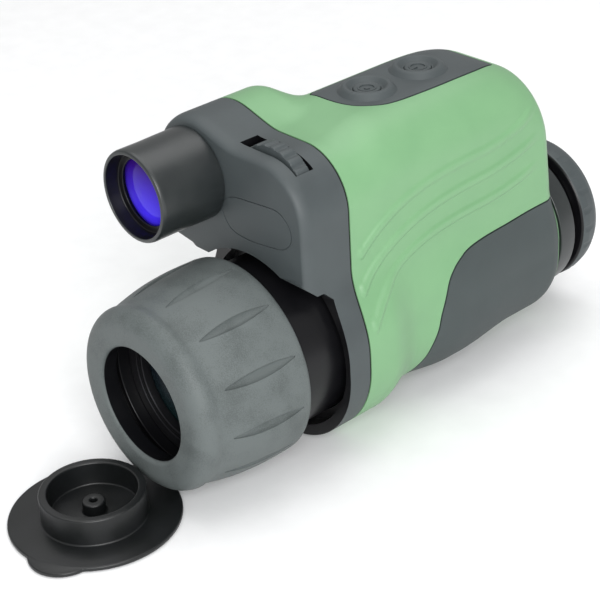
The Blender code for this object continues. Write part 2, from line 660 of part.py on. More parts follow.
def make_battery_bay():
    tray = box("battery_tray", (TRAY_X[0], TRAY_Y[0], TRAY_Z[0]), (TRAY_X[1], TRAY_Y[1], TRAY_Z[1]),
               CHARCOAL)
    low = (TRAY_X[0] - 5.0, TRAY_Y[0] + TRAY_WALL, TRAY_Z[0] + TRAY_WALL)
    high = tuple(edge - TRAY_WALL for edge in (TRAY_X[1], TRAY_Y[1], TRAY_Z[1]))
    cut(tray, box("inside", low, high))
    middle = CELL_Y + CELL_LENGTH / 2
    for label, z in zip(("lower", "upper"), CELL_ZS):
        flip = 1.0 if label == "lower" else -1.0
        shape = [(-CELL_LENGTH / 2, 0.0), (-CELL_LENGTH / 2, CELL_RADIUS - 0.4),
                 (-CELL_LENGTH / 2 + 0.4, CELL_RADIUS), (CELL_LENGTH / 2 - 1.6, CELL_RADIUS),
                 (CELL_LENGTH / 2 - 1.2, CELL_RADIUS - 0.4), (CELL_LENGTH / 2 - 1.2, 2.7),
                 (CELL_LENGTH / 2, 2.7), (CELL_LENGTH / 2, 0.0)]
        lathe("battery_" + label, [(middle + flip * y, r) for y, r in shape], CELL, CELL_X, z, 20)
    ends = (TRAY_Y[0] + TRAY_WALL + GAP, TRAY_Y[1] - TRAY_WALL - GAP)
    for label, y, way in (("front", ends[0], 1.0), ("rear", ends[1], -1.0)):
        low_y, high_y = sorted((y, y + way * 0.5))
        box("battery_contact_" + label, (CELL_X - 6.0, low_y, CELL_ZS[0] - 5.0),
            (CELL_X + 6.0, high_y, CELL_ZS[1] + 5.0), STEEL)
    spring("battery_spring_front", CELL_ZS[0], ends[0] + 0.8, CELL_Y - GAP)
    spring("battery_spring_rear", CELL_ZS[1], ends[1] - 0.8, CELL_Y + CELL_LENGTH + GAP)


def spring(name, z, wide_y, narrow_y, turns=3, wire=0.35):
    """Conical coil of round wire from the contact plate to a cell's flat end."""
    sides, steps = 4, 10 * turns
    way = 1.0 if narrow_y > wide_y else -1.0
    start, end = wide_y + way * wire, narrow_y - way * wire
    bm = bmesh.new()
    rings = []
    for i in range(steps + 1):
        share = i / steps
        angle = 2 * pi * turns * share
        radius = 5.0 - 2.2 * share
        y = start + (end - start) * share
        ring = []
        for k in range(sides):
            around = 2 * pi * k / sides
            r = radius + wire * cos(around)
            ring.append(bm.verts.new((CELL_X + r * sin(angle), y + wire * sin(around), z + r * cos(angle))))
        rings.append(ring)
    for one, two in zip(rings, rings[1:]):
        for k in range(sides):
            m = (k + 1) % sides
            bm.faces.new((one[k], two[k], two[m], one[m]))
    bm.faces.new(rings[0])
    bm.faces.new(rings[-1][::-1])
    add_object(name, bm, STEEL, (CELL_X, 0.0, z))


# ---- tripod foot -----------------------------------------------------------------------

def make_foot():
    """Seat on the underside, with a threaded brass bush in it."""
    foot = box("tripod_foot", (-FOOT_HALF, FOOT_Y[0], -AXIS_HEIGHT), (FOOT_HALF, FOOT_Y[1], FOOT_TOP),
               RUBBER)
    cut(foot, post("bush_hole", 0.0, BUSH_Y, -40.0, -20.0, 4.8))
    bush = post("tripod_bush", 0.0, BUSH_Y, -AXIS_HEIGHT + 0.5, FOOT_TOP, 4.5, BRASS)
    cut(bush, post("thread", 0.0, BUSH_Y, -40.0, -30.0, 3.1))


# ---- lens cap --------------------------------------------------------------------------

def make_cap():
    """Rubber cap: flange, hollow plug, centre post with a pinhole, and a pull tab."""
    floor = CAP_TOP + 1.0
    post_top = CAP_TOP + 5.0
    profile = [(CAP_TOP - CAP_THICKNESS, 0.0), (CAP_TOP - CAP_THICKNESS, CAP_FLANGE), (CAP_TOP, CAP_FLANGE),
               (CAP_TOP, PLUG_RADIUS), (CAP_TOP + PLUG_HEIGHT, PLUG_RADIUS),
               (CAP_TOP + PLUG_HEIGHT, PLUG_BORE), (floor, PLUG_BORE), (floor, 3.6), (post_top, 3.6),
               (post_top, 1.1), (post_top - 3.0, 1.1), (post_top - 3.0, 0.0)]
    bm = lathe_mesh(profile, 0.0, 0.0, 32)
    bmesh.ops.rotate(bm, verts=bm.verts, cent=(0, 0, 0), matrix=Matrix.Rotation(radians(90), 3, "X"))
    bmesh.ops.translate(bm, verts=bm.verts, vec=(CAP_X, CAP_Y, 0.0))
    cap = add_object("lens_cap", bm, CAP_RUBBER, CAP_HINGE)
    turn = radians(TAB_TURN)
    tab = post("tab", CAP_X + TAB_REACH * sin(turn), CAP_Y - TAB_REACH * cos(turn),
               CAP_TOP - CAP_THICKNESS, CAP_TOP - 0.1, TAB_RADIUS, steps=32)
    cut(tab, post("plug_space", CAP_X, CAP_Y, -40.0, 0.0, PLUG_RADIUS + 2.0, steps=32))
    join(cap, tab)
    box("cap_strap", (-8.0, CAP_Y + CAP_FLANGE + GAP, -34.1), (3.0, -20.0, -33.2), CAP_RUBBER)


make_casing()
make_front_cover()
make_objective()
make_optics()
make_illuminator()
make_controls()
make_battery_bay()
make_foot()
make_cap()
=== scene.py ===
from math import cos, hypot, pi, radians, sin

import bmesh
import bpy
import numpy as np
from mathutils import Matrix, Vector


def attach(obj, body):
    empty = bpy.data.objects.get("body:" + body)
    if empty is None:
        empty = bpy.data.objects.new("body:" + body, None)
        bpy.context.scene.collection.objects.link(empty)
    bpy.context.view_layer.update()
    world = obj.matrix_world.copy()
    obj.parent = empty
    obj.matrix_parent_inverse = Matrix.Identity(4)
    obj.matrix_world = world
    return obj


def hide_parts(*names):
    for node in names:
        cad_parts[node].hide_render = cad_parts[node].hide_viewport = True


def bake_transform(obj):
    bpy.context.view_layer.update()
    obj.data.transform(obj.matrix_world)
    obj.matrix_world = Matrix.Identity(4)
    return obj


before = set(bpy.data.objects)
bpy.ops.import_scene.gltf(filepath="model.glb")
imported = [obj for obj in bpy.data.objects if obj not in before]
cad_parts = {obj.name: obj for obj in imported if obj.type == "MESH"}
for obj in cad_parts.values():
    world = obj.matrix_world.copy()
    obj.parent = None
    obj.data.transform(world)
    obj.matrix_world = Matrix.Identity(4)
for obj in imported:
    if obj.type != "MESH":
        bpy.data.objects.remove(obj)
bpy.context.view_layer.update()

# Lengths are millimetres in the optical frame: the optical axis is Y, the objective looks
# towards -Y, +Z is up and y = 0 is the back edge of the focus ring. Left is -X.
MM = 0.001
SEAT_Y = 86.0                       # the tripod seat, which is the origin of the row frame
AXIS_HEIGHT = 34.4                  # the optical axis above the floor
TO_WORLD = Matrix.Translation((0.0, -SEAT_Y * MM, AXIS_HEIGHT * MM)) @ Matrix.Scale(MM, 4)
FROM_WORLD = TO_WORLD.inverted()

GAP = 0.3                           # clearance between parts that fit into one another
SEAM = 0.6                          # visible gap round the pads, the panel and the door
FAR = 60.0                          # past the body on both sides and below
ABOVE = 90.0                        # higher than the whole casing
TOUCH = 0.05                        # tolerance for finding the faces of a cut
ON_AXIS = 1e-6                      # a smaller radius is a point on the axis
CORNER_SHARE = 0.45                 # most of an edge that a rounded corner takes
SQUARE_ON = 0.99                    # a normal this far along an axis is square to it
OUTWARD = 0.3                       # a normal this far from the axis looks outwards
SHARP = radians(32.0)               # edges that stay crisp on a plain piece
CARVED_SHARP = radians(48.0)        # and on one that has been cut or joined

# Casing: the cover in front, the shell behind it, and a black seam piece between them that is painted shade
COVER_FRONT = 5.8
COVER_BACK = 23.75
COVER_WALL = 2.4
COVER_ROUNDING = (5.0, 2.2)         # depth and width of its rounded front edge
COLLAR_FRONT = 15.4
BLOCK_UNDERSIDE = 26.5
RECESS_RADIUS = 33.2
COLLAR_RECESS = 31.2
RECESS_BACK = 20.5
RECESS_STEP = 3.9                   # the widest part of the recess ends this far in front of the collar
SHELL_FRONT = COVER_BACK + 0.7
SHELL_BACK = 123.0
SHELL_WALL = 3.4
# the black seam piece of painted shade lies this far under the outer form
SEAM_SHADE_INSET = 0.35

# Outer form that the cover and the shell share
FORM_BACK = 123.4
HALF_WIDTH = 26.6
TOP_HEIGHT = 70.0
FRONT_TOP = 66.9
FORM_REACH = 90.0                   # no point of the form is farther from its centre line
BACK_ROUNDING = 110.0               # the form is skinned more closely behind this

# Pads, panel, door and buttons
PAD_BACK = 119.0
PAD_DEPTH = 1.9
PAD_THICKNESS = 1.6
PANEL_THICKNESS = 2.0
DOOR_THICKNESS = 2.4
DOOR_Y = (56.0, 109.0)
DOOR_Z = (27.2, 57.0)
BUTTON_X = -1.0
BUTTON_YS = (59.0, 81.8)
BUTTON_TOP = 71.0
BUTTON_RADIUS = 4.4
BUTTON_SKIRT = 1.2                  # width of the flange that holds a button in
BUTTON_WELL = BUTTON_RADIUS + 2.8   # radius of the hole in the shell under a button
COLLAR_BASE = 68.6
COLLAR_TOP = 72.0

# Control wheel
WHEEL_X = 6.2
WHEEL_Z = 54.0
WHEEL_Y = 11.5
WHEEL_WIDTH = 5.0
WHEEL_RADIUS = 15.2
WHEEL_TEETH = 24
WHEEL_BORE = 2.3
WHEEL_SLOT_X = (-6.0, 18.3)
WHEEL_SLOT_Y = (WHEEL_Y - 1.0, WHEEL_Y + WHEEL_WIDTH + 1.0)
WHEEL_SLOT_FLOOR = 58.0

# Illuminator
IR_X = -24.0
IR_Z = 53.35
IR_BOSS_RADIUS = 18.2
IR_TUBE = 15.0
IR_FRONT = -18.3
IR_NECK = 11.8
IR_PAINTED_SHADE = (9.5, 13.4)               # depth and radius within which the inside of its front is painted black as painted shade

# Focus ring, objective and eyepiece
RING_FRONT = -40.7
NOSE_Y = -35.2
NOSE_RADIAL = 24.1
NOSE_RISE = 6.1
LIP_DEPTH = 1.1
LIP_WIDTH = 1.6
HOLE_RADIUS = 18.8
BARREL_RADIUS = 28.2
EYE_COLLAR = 26.0
EYE_NECK = 21.6
EYE_BARREL = (97.0, 141.5)
EYE_BORE = 18.6
EYE_COLLAR_BACK = 130.6             # behind this the eyepiece barrel is painted black as painted shade
SCALLOPS = 24                       # finger grooves round the dioptre ring
SCALLOP_RADIUS = 2.1
SCALLOP_REACH = 27.6
SCALLOP_Y = 139.2

# Tripod foot
BUSH_Y = 78.0
BUSH_RADIUS = 4.8
FOOT_HALF = 7.5
FOOT_Y = (BUSH_Y - 10.0, BUSH_Y + 20.0)
FOOT_TOP = -28.6
FOOT_GROOVES = 4
GROOVE_PITCH = 2.6

# Lens cap and strap
CAP_X = -4.65
CAP_Y = -58.2
CAP_TOP = -32.9
CAP_FLANGE = 26.9
CAP_THICKNESS = 1.5
PLUG_RADIUS = 16.5
PLUG_BORE = 13.9
PLUG_HEIGHT = 9.0
POST_RADIUS = 3.6
PINHOLE_RADIUS = 1.1
TAB_TURN = radians(25.0)
TAB_REACH = 19.6
TAB_RADIUS = 11.0
STRAP_X = -2.5
STRAP_BACK = -20.0
STRAP_HALF_WIDTH = 5.5
STRAP_WAIST = 0.5                   # how much narrower each side is half way along
STRAP_Z = (-34.1, -33.2)
STRAP_STATIONS = 36


# ---- camera ----------------------------------------------------------------------------

def make_camera():
    """Above the right front of the monocular, tilted a little to one side."""
    azimuth, elevation, roll = radians(49.24), radians(29.585), radians(3.37)
    place = (0.3639, -0.3743, 0.3158)
    back = Vector((sin(azimuth) * cos(elevation), -cos(azimuth) * cos(elevation), sin(elevation)))
    level_right = Vector((0.0, 0.0, 1.0)).cross(back).normalized()
    level_up = back.cross(level_right)
    right = level_right * cos(roll) - level_up * sin(roll)
    up = level_up * cos(roll) + level_right * sin(roll)
    data = bpy.data.cameras.new("camera")
    data.lens = 103.7
    data.sensor_width = 36.0
    data.clip_start = 0.01
    camera = bpy.data.objects.new("camera", data)
    turn = Matrix((right, up, back)).transposed().to_4x4()
    camera.matrix_world = Matrix.Translation(place) @ turn
    bpy.context.scene.collection.objects.link(camera)
    bpy.context.scene.camera = camera


# ---- materials -------------------------------------------------------------------------

CLOUD_SCALE = 90.0                  # slow changes of colour and gloss, per metre
NOISE_RANGE = (0.3, 0.7)            # what noise mostly stays between
BUMP_HEIGHT = 0.1                   # millimetres
FILM_SCALE = 160.0                  # uneven gloss of a lens coating, per metre
FILM_ROUGHNESS = (0.03, 0.12)
COATING = {"Specular IOR Level": 0.12, "Coat Weight": 0.04, "Coat Roughness": 0.03}


def plastic(name, light, dark, roughness, spread=0.08, grain=0.25, relief=0.15, metallic=0.0,
            shine=0.5, speckle=0.0):
    """Moulded or machined surface with cloudy colour, uneven gloss and a fine grain.

    grain is the size of the grain in millimetres, relief how strongly it stands out, speckle
    how much it shows in the colour, spread how far the roughness varies, and shine the
    strength of the reflection.
    """
    mat = bpy.data.materials.new(name)
    mat.use_nodes = True
    nodes, links = mat.node_tree.nodes, mat.node_tree.links
    shader = nodes["Principled BSDF"]
    shader.inputs["Metallic"].default_value = metallic
    shader.inputs["Specular IOR Level"].default_value = shine
    where = nodes.new("ShaderNodeTexCoord")

    clouds = nodes.new("ShaderNodeTexNoise")
    clouds.inputs["Scale"].default_value = CLOUD_SCALE
    clouds.inputs["Detail"].default_value = 5.0
    links.new(where.outputs["Object"], clouds.inputs["Vector"])
    fine = nodes.new("ShaderNodeTexNoise")
    fine.inputs["Scale"].default_value = 1.0 / (grain * MM)
    fine.inputs["Detail"].default_value = 3.0
    links.new(where.outputs["Object"], fine.inputs["Vector"])

    weight = nodes.new("ShaderNodeMath")
    weight.operation = "MULTIPLY_ADD"
    weight.inputs[1].default_value = speckle
    links.new(fine.outputs["Fac"], weight.inputs[0])
    links.new(clouds.outputs["Fac"], weight.inputs[2])
    ramp = nodes.new("ShaderNodeValToRGB")
    ramp.color_ramp.elements[0].position = NOISE_RANGE[0] + speckle / 2
    ramp.color_ramp.elements[0].color = (*dark, 1.0)
    ramp.color_ramp.elements[1].position = NOISE_RANGE[1] + speckle / 2
    ramp.color_ramp.elements[1].color = (*light, 1.0)
    links.new(weight.outputs[0], ramp.inputs["Fac"])
    links.new(ramp.outputs["Color"], shader.inputs["Base Color"])

    gloss = nodes.new("ShaderNodeMapRange")
    gloss.inputs["From Min"].default_value = NOISE_RANGE[0]
    gloss.inputs["From Max"].default_value = NOISE_RANGE[1]
    gloss.inputs["To Min"].default_value = roughness - spread / 2
    gloss.inputs["To Max"].default_value = roughness + spread / 2
    links.new(clouds.outputs["Fac"], gloss.inputs["Value"])
    links.new(gloss.outputs["Result"], shader.inputs["Roughness"])

    bump = nodes.new("ShaderNodeBump")
    bump.inputs["Strength"].default_value = relief
    bump.inputs["Distance"].default_value = BUMP_HEIGHT * MM
    links.new(fine.outputs["Fac"], bump.inputs["Height"])
    links.new(bump.outputs["Normal"], shader.inputs["Normal"])
    return mat


def coated_glass_with_painted_reflection(name, low, high, centre, height, painted_glow):
    """Lens with a coating, whose colour runs from low at the bottom to high at the top as a painted
    reflection.

    The colour changes within height of the line at centre, both in millimetres from the optical
    axis, and glow is how strongly the lens shines in its own colour, which is painted light.
    """
    mat = bpy.data.materials.new(name)
    mat.use_nodes = True
    nodes, links = mat.node_tree.nodes, mat.node_tree.links
    shader = nodes["Principled BSDF"]
    for socket, value in COATING.items():
        shader.inputs[socket].default_value = value
    shader.inputs["Emission Strength"].default_value = painted_glow
    where = nodes.new("ShaderNodeTexCoord")
    split = nodes.new("ShaderNodeSeparateXYZ")
    links.new(where.outputs["Object"], split.inputs["Vector"])
    share = nodes.new("ShaderNodeMapRange")
    middle = (centre + AXIS_HEIGHT) * MM
    share.inputs["From Min"].default_value = middle - height * MM
    share.inputs["From Max"].default_value = middle + height * MM
    links.new(split.outputs["Z"], share.inputs["Value"])
    ramp = nodes.new("ShaderNodeValToRGB")
    ramp.color_ramp.elements[0].color = (*low, 1.0)
    ramp.color_ramp.elements[1].color = (*high, 1.0)
    links.new(share.outputs["Result"], ramp.inputs["Fac"])
    links.new(ramp.outputs["Color"], shader.inputs["Base Color"])
    links.new(ramp.outputs["Color"], shader.inputs["Emission Color"])
    film = nodes.new("ShaderNodeTexNoise")
    film.inputs["Scale"].default_value = FILM_SCALE
    links.new(where.outputs["Object"], film.inputs["Vector"])
    gloss = nodes.new("ShaderNodeMapRange")
    gloss.inputs["To Min"].default_value = FILM_ROUGHNESS[0]
    gloss.inputs["To Max"].default_value = FILM_ROUGHNESS[1]
    links.new(film.outputs["Fac"], gloss.inputs["Value"])
    links.new(gloss.outputs["Result"], shader.inputs["Roughness"])
    return mat


GREEN = plastic("green_casing", (0.172, 0.348, 0.174), (0.16, 0.33, 0.164), 0.42, grain=0.22, relief=0.10)
CHARCOAL = plastic("charcoal_soft_touch", (0.055, 0.067, 0.07), (0.046, 0.056, 0.059), 0.55, grain=0.2,
                   relief=0.22, speckle=0.3)
PAD_RUBBER = plastic("grip_rubber", (0.046, 0.059, 0.06), (0.038, 0.049, 0.05), 0.6, grain=0.25, relief=0.25,
                     speckle=0.3)
RING_RUBBER = plastic("ring_rubber", (0.108, 0.124, 0.123), (0.074, 0.086, 0.085), 0.55, grain=0.3,
                      relief=0.5, speckle=0.9, shine=0.35)
TUBE_BLACK = plastic("illuminator_tube", (0.017, 0.021, 0.021), (0.012, 0.015, 0.016), 0.36, grain=0.2,
                     relief=0.15, shine=0.65, speckle=0.2)
# Glossy black of the objective barrel and the image tube, also painted as shade on the seam piece, the
# wheel's slot, the recess behind the focus ring, the ring's mouth, the lamp's front, the eyepiece neck and
# the dioptre's front face
GLOSS_BLACK_AND_PAINTED_SHADE = plastic("black_barrel", (0.006, 0.006, 0.007), (0.004, 0.004, 0.005), 0.3, spread=0.05,
                      grain=0.5, relief=0.03, shine=0.3)
CAP_RUBBER = plastic("cap_rubber", (0.007, 0.008, 0.009), (0.004, 0.005, 0.005), 0.38, grain=0.3, relief=0.15,
                     speckle=0.4)
BOARD = plastic("circuit_board", (0.03, 0.16, 0.06), (0.02, 0.12, 0.04), 0.4, grain=0.6)
STEEL = plastic("nickel_steel", (0.65, 0.65, 0.62), (0.5, 0.5, 0.48), 0.28, metallic=1.0)
BRASS = plastic("brass", (0.75, 0.54, 0.26), (0.6, 0.42, 0.18), 0.3, metallic=1.0)
ALUMINIUM = plastic("black_aluminium", (0.03, 0.03, 0.034), (0.02, 0.02, 0.022), 0.36, metallic=0.6,
                    relief=0.08)
CELL = plastic("battery_sleeve", (0.1, 0.11, 0.13), (0.06, 0.065, 0.08), 0.35, grain=0.8)
# painted reflection: a faint green at the bottom and a faint purple at the top
GLASS = coated_glass_with_painted_reflection("objective_glass", (0.01, 0.03, 0.03), (0.02, 0.012, 0.03), 0.0, 20.0, 0.0)
# painted reflection and painted light: bright blue-violet at the bottom, dark violet at the top, and the lens
# shines faintly in its own colour
VIOLET_GLASS = coated_glass_with_painted_reflection("infrared_lens", (0.06, 0.03, 0.9), (0.035, 0.006, 0.2), IR_Z, 8.0, 0.06)


# ---- mesh helpers ----------------------------------------------------------------------

def add_object(name, bm, mat=None):
    """Turn a bmesh in millimetres into a shaded object in the row frame."""
    bmesh.ops.recalc_face_normals(bm, faces=bm.faces)
    bm.transform(TO_WORLD)
    mesh = bpy.data.meshes.new(name)
    bm.to_mesh(mesh)
    bm.free()
    return add_mesh(name, mesh, mat)


def add_mesh(name, mesh, mat=None):
    if mat:
        mesh.materials.append(mat)
    mesh.shade_smooth()
    mesh.set_sharp_from_angle(angle=SHARP)
    obj = bpy.data.objects.new(name, mesh)
    bpy.context.scene.collection.objects.link(obj)
    return obj


def stand_for(obj, body, node):
    """The piece rides on a body and is shown in place of a CAD node, which is hidden."""
    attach(obj, body)
    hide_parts(node)


def combine(obj, other, operation):
    """Cut or join two closed pieces. The other is used up, and one material covers the result."""
    modifier = obj.modifiers.new("combine", "BOOLEAN")
    modifier.operation = operation
    modifier.object = other
    modifier.solver = "MANIFOLD"
    graph = bpy.context.evaluated_depsgraph_get()
    mesh = bpy.data.meshes.new_from_object(obj.evaluated_get(graph))
    obj.modifiers.clear()
    old = obj.data
    mesh.materials.clear()
    for mat in old.materials:
        mesh.materials.append(mat)
    for face in mesh.polygons:
        face.material_index = 0
    obj.data = mesh
    bpy.data.meshes.remove(old)
    bpy.data.objects.remove(other, do_unlink=True)
    mesh.shade_smooth()
    mesh.set_sharp_from_angle(angle=CARVED_SHARP)
    return obj


def cut(obj, other):
    return combine(obj, other, "DIFFERENCE")


def join(obj, other):
    return combine(obj, other, "UNION")


def keep_inside(obj, other):
    return combine(obj, other, "INTERSECT")


def paint(obj, mat, chosen):
    """A second material on the faces for which chosen(centre, normal) is true, used here to paint shade."""
    obj.data.materials.append(mat)
    for face in obj.data.polygons:
        if chosen(FROM_WORLD @ face.center, face.normal):
            face.material_index = 1


def skin(bm, rings, capped=False):
    """Faces from each ring of corners to the next, and over the two ends if capped."""
    for one, two in zip(rings, rings[1:]):
        for i in range(len(one)):
            j = (i + 1) % len(one)
            bm.faces.new((one[i], one[j], two[j], two[i]))
    if capped:
        bm.faces.new(rings[0])
        bm.faces.new(rings[-1][::-1])


def soften(points, amount, closed=True, segments=4):
    """Points of an outline with every corner rounded by about amount."""
    result = []
    count = len(points)
    for i, (a, b) in enumerate(points):
        if not closed and i in (0, count - 1):
            result.append((a, b))
            continue
        ends = []
        for a1, b1 in (points[i - 1], points[(i + 1) % count]):
            length = hypot(a1 - a, b1 - b)
            share = min(amount, CORNER_SHARE * length) / length
            ends.append((a + (a1 - a) * share, b + (b1 - b) * share))
        (a0, b0), (a1, b1) = ends
        for k in range(segments + 1):
            t = k / segments
            u = 1 - t
            result.append((u * u * a0 + 2 * u * t * a + t * t * a1,
                           u * u * b0 + 2 * u * t * b + t * t * b1))
    return result


def spline(points, segments=6):
    """Smooth open curve through the points."""
    result = []
    ends = [points[0], *points, points[-1]]
    for p, q, r, s in zip(ends, ends[1:], ends[2:], ends[3:]):
        for k in range(segments):
            t = k / segments
            weights = ((-t + 2 * t * t - t ** 3) / 2, (2 - 5 * t * t + 3 * t ** 3) / 2,
                       (t + 4 * t * t - 3 * t ** 3) / 2, (t ** 3 - t * t) / 2)
            result.append(tuple(sum(w * c for w, c in zip(weights, axis)) for axis in zip(p, q, r, s)))
    return result + [points[-1]]


def lathe_mesh(profile, x=0.0, z=0.0, steps=144):
    """Revolve (y, radius) points about the line through (x, z) along Y."""
    bm = bmesh.new()
    turn = [2 * pi * i / steps for i in range(steps)]
    rings = []
    for y, radius in profile:
        if radius < ON_AXIS:
            rings.append([bm.verts.new((x, y, z))])
        else:
            rings.append([bm.verts.new((x + radius * sin(a), y, z + radius * cos(a))) for a in turn])
    pairs = list(zip(rings, rings[1:]))
    if len(rings[0]) > 1:
        pairs.append((rings[-1], rings[0]))
    for one, two in pairs:
        for i in range(steps):
            j = (i + 1) % steps
            corners = [one[i % len(one)], one[j % len(one)], two[j % len(two)], two[i % len(two)]]
            bm.faces.new(list(dict.fromkeys(corners)))
    return bm


def lathe(name, profile, mat=None, x=0.0, z=0.0, steps=144, soft=0.0):
    """A piece turned about a line along Y, from (y, radius) points."""
    if soft:
        profile = soften(profile, soft, closed=profile[0][1] > 0)
    return add_object(name, lathe_mesh(profile, x, z, steps), mat)


def upright(name, profile, x, y, mat=None, steps=96, soft=0.0):
    """A piece turned about a vertical line, from (height, radius) points."""
    if soft:
        profile = soften(profile, soft, closed=profile[0][1] > 0)
    bm = lathe_mesh([(-z, r) for z, r in profile], 0.0, 0.0, steps)
    bmesh.ops.rotate(bm, verts=bm.verts, cent=(0, 0, 0), matrix=Matrix.Rotation(radians(-90), 3, "X"))
    bmesh.ops.translate(bm, verts=bm.verts, vec=(x, y, 0.0))
    return add_object(name, bm, mat)


def disc(y0, y1, radius):
    """Profile of a solid disc from y0 to y1."""
    return [(y0, 0.0), (y0, radius), (y1, radius), (y1, 0.0)]


def tube(y0, y1, inner, outer):
    """Profile of a tube from y0 to y1."""
    return [(y0, inner), (y0, outer), (y1, outer), (y1, inner)]


def box(name, low, high, mat=None, bevel=0.0):
    """A block between two corners."""
    bm = bmesh.new()
    bmesh.ops.create_cube(bm, size=1.0)
    bmesh.ops.scale(bm, verts=bm.verts, vec=[b - a for a, b in zip(low, high)])
    bmesh.ops.translate(bm, verts=bm.verts, vec=[(a + b) / 2 for a, b in zip(low, high)])
    if bevel:
        bmesh.ops.bevel(bm, geom=bm.edges[:], offset=bevel, segments=3, profile=0.5, affect="EDGES")
    return add_object(name, bm, mat)


def prism(name, outline, axis, low, high, mat=None, bevel=0.0):
    """Extrude an outline: (y, z) points along X, (x, z) along Y or (x, y) along Z."""
    def place(a, b, depth):
        return {"X": (depth, a, b), "Y": (a, depth, b), "Z": (a, b, depth)}[axis]

    bm = bmesh.new()
    near = [bm.verts.new(place(a, b, low)) for a, b in outline]
    far = [bm.verts.new(place(a, b, high)) for a, b in outline]
    count = len(outline)
    caps = [bm.faces.new(near), bm.faces.new(far[::-1])]
    for i in range(count):
        bm.faces.new((near[i], far[i], far[(i + 1) % count], near[(i + 1) % count]))
    if bevel:
        edges = [edge for cap in caps for edge in cap.edges]
        bmesh.ops.bevel(bm, geom=edges, offset=bevel, segments=3, profile=0.5, affect="EDGES")
    return add_object(name, bm, mat)


def grow(outline, amount):
    """An anticlockwise outline moved outwards by amount."""
    moved = []
    for i, (a, b) in enumerate(outline):
        before, after = outline[i - 1], outline[(i + 1) % len(outline)]
        da, db = after[0] - before[0], after[1] - before[1]
        length = hypot(da, db)
        moved.append((a + amount * db / length, b - amount * da / length))
    return moved


# ---- outer form of the body ------------------------------------------------------------

def smooth(low, high, value):
    """0 below low, 1 above high and a smooth step between."""
    t = np.clip((value - low) / (high - low), 0.0, 1.0)
    return t * t * (3 - 2 * t)


def bend(start, end, value, power=2.0):
    """1 up to start, falling to 0 at end like the quarter of a round corner."""
    t = np.clip((value - start) / (end - start), 0.0, 1.0)
    return (1 - t ** power) ** (1 / power)


def soft_min(a, b, blend):
    """The smaller of two distances, with a fillet where they are within blend of each other."""
    t = np.maximum(blend - np.abs(a - b), 0.0) / blend
    return np.minimum(a, b) - t * t * blend / 4


def rounded_box(x, z, x0, x1, z0, z1, radius):
    """Signed distance to a rectangle with rounded corners."""
    dx = np.abs(x - (x0 + x1) / 2) - (x1 - x0) / 2 + radius
    dz = np.abs(z - (z0 + z1) / 2) - (z1 - z0) / 2 + radius
    outside = np.hypot(np.maximum(dx, 0.0), np.maximum(dz, 0.0))
    return outside + np.minimum(np.maximum(dx, dz), 0.0) - radius


def lower_half(y):
    """Half width of the round lower part, with a waist behind the cover and a fuller grip."""
    waist = 4.3 * smooth(35, 50, y)
    grip = 2.0 * smooth(52, 71, y) - 1.9 * smooth(76, 104, y)
    return 25.5 - waist + grip + 7.7 * bend(115, FORM_BACK, y)


def body_distance(x, z, y):
    """Signed distance, in a slice across the body, to the outer form at y."""
    fuller = smooth(28, 46, y)          # the body swells from the cover to the panel
    side = HALF_WIDTH - 0.6 * (1 - smooth(20, 45, y))
    side = side + 24.0 * (bend(113.4, FORM_BACK, y + 0.11 * np.maximum(0.0, z - 25)) - 1)
    top = FRONT_TOP + (TOP_HEIGHT - FRONT_TOP) * fuller
    top = 20 + (top - 20) * bend(76, FORM_BACK, y, 3.5)
    corner = np.minimum(np.minimum(17.7 + 0.9 * fuller, side - 1), top / 2 + 4)
    upper = rounded_box(x, z, -side, side, -8.0, top, corner)

    low = lower_half(y)
    lower = rounded_box(x, z, -low, low, -low - 1.3, low + 0.2, low - 1.5)
    body = soft_min(upper, lower, 6.0)

    fade = 20.0 * smooth(36, 62, y)     # the bulge behind the illuminator sinks into the side
    boss = np.hypot(x - IR_X, z - IR_Z) - IR_BOSS_RADIUS
    left = IR_X - IR_BOSS_RADIUS + 1.5
    block = rounded_box(x, z, left, 0.0, BLOCK_UNDERSIDE, IR_Z + 4, 6.0)
    return soft_min(body, soft_min(boss, block, 5.0) + fade, 7.0)


# For each rib: its height above the optical axis along the middle, its drop at the front, the
# sharpness of that drop, its rise at the back, and where it starts on the right side
RIBS = ((49.15, 20.3, 4.73, 3.1, 28.6), (40.5, 22.0, 4.16, 2.6, 27.6), (31.2, 26.0, 4.59, 2.2, 28.2))
LEFT_RIB_START = 50.0
RIB_HEIGHT = 0.8
RIB_EDGE = (0.8, 1.95)              # a rib falls from its full height to nothing between these


def rib_line(middle, drop, sharpness, rise, y):
    """Height at which a rib runs at y."""
    front = drop * np.maximum(0.0, 1 - (y - 24) / 80) ** sharpness
    return middle - front + rise * np.maximum(0.0, (y - 80) / 20) ** 2


def ribs(x, z, y):
    """Height of the three moulded ribs along each side."""
    total = 0.0
    for *line, right_start in RIBS:
        start = np.where(x > 0, right_start, LEFT_RIB_START)
        near = np.maximum(y, start)
        slope = rib_line(*line, near + 0.5) - rib_line(*line, near - 0.5)
        across = np.abs(z - rib_line(*line, near)) / np.hypot(1.0, slope)
        away = np.hypot(across, near - y)
        height = RIB_HEIGHT * (1 - smooth(*RIB_EDGE, away)) * (1 - smooth(100, 111, y))
        total = np.maximum(total, height)
    return total * smooth(12, 16, np.abs(x))


# Centre line that the form is skinned about, and the halvings that find each of its points
CENTRE_X = -4.0
CENTRE_Z = 26.0
HALVINGS = 30


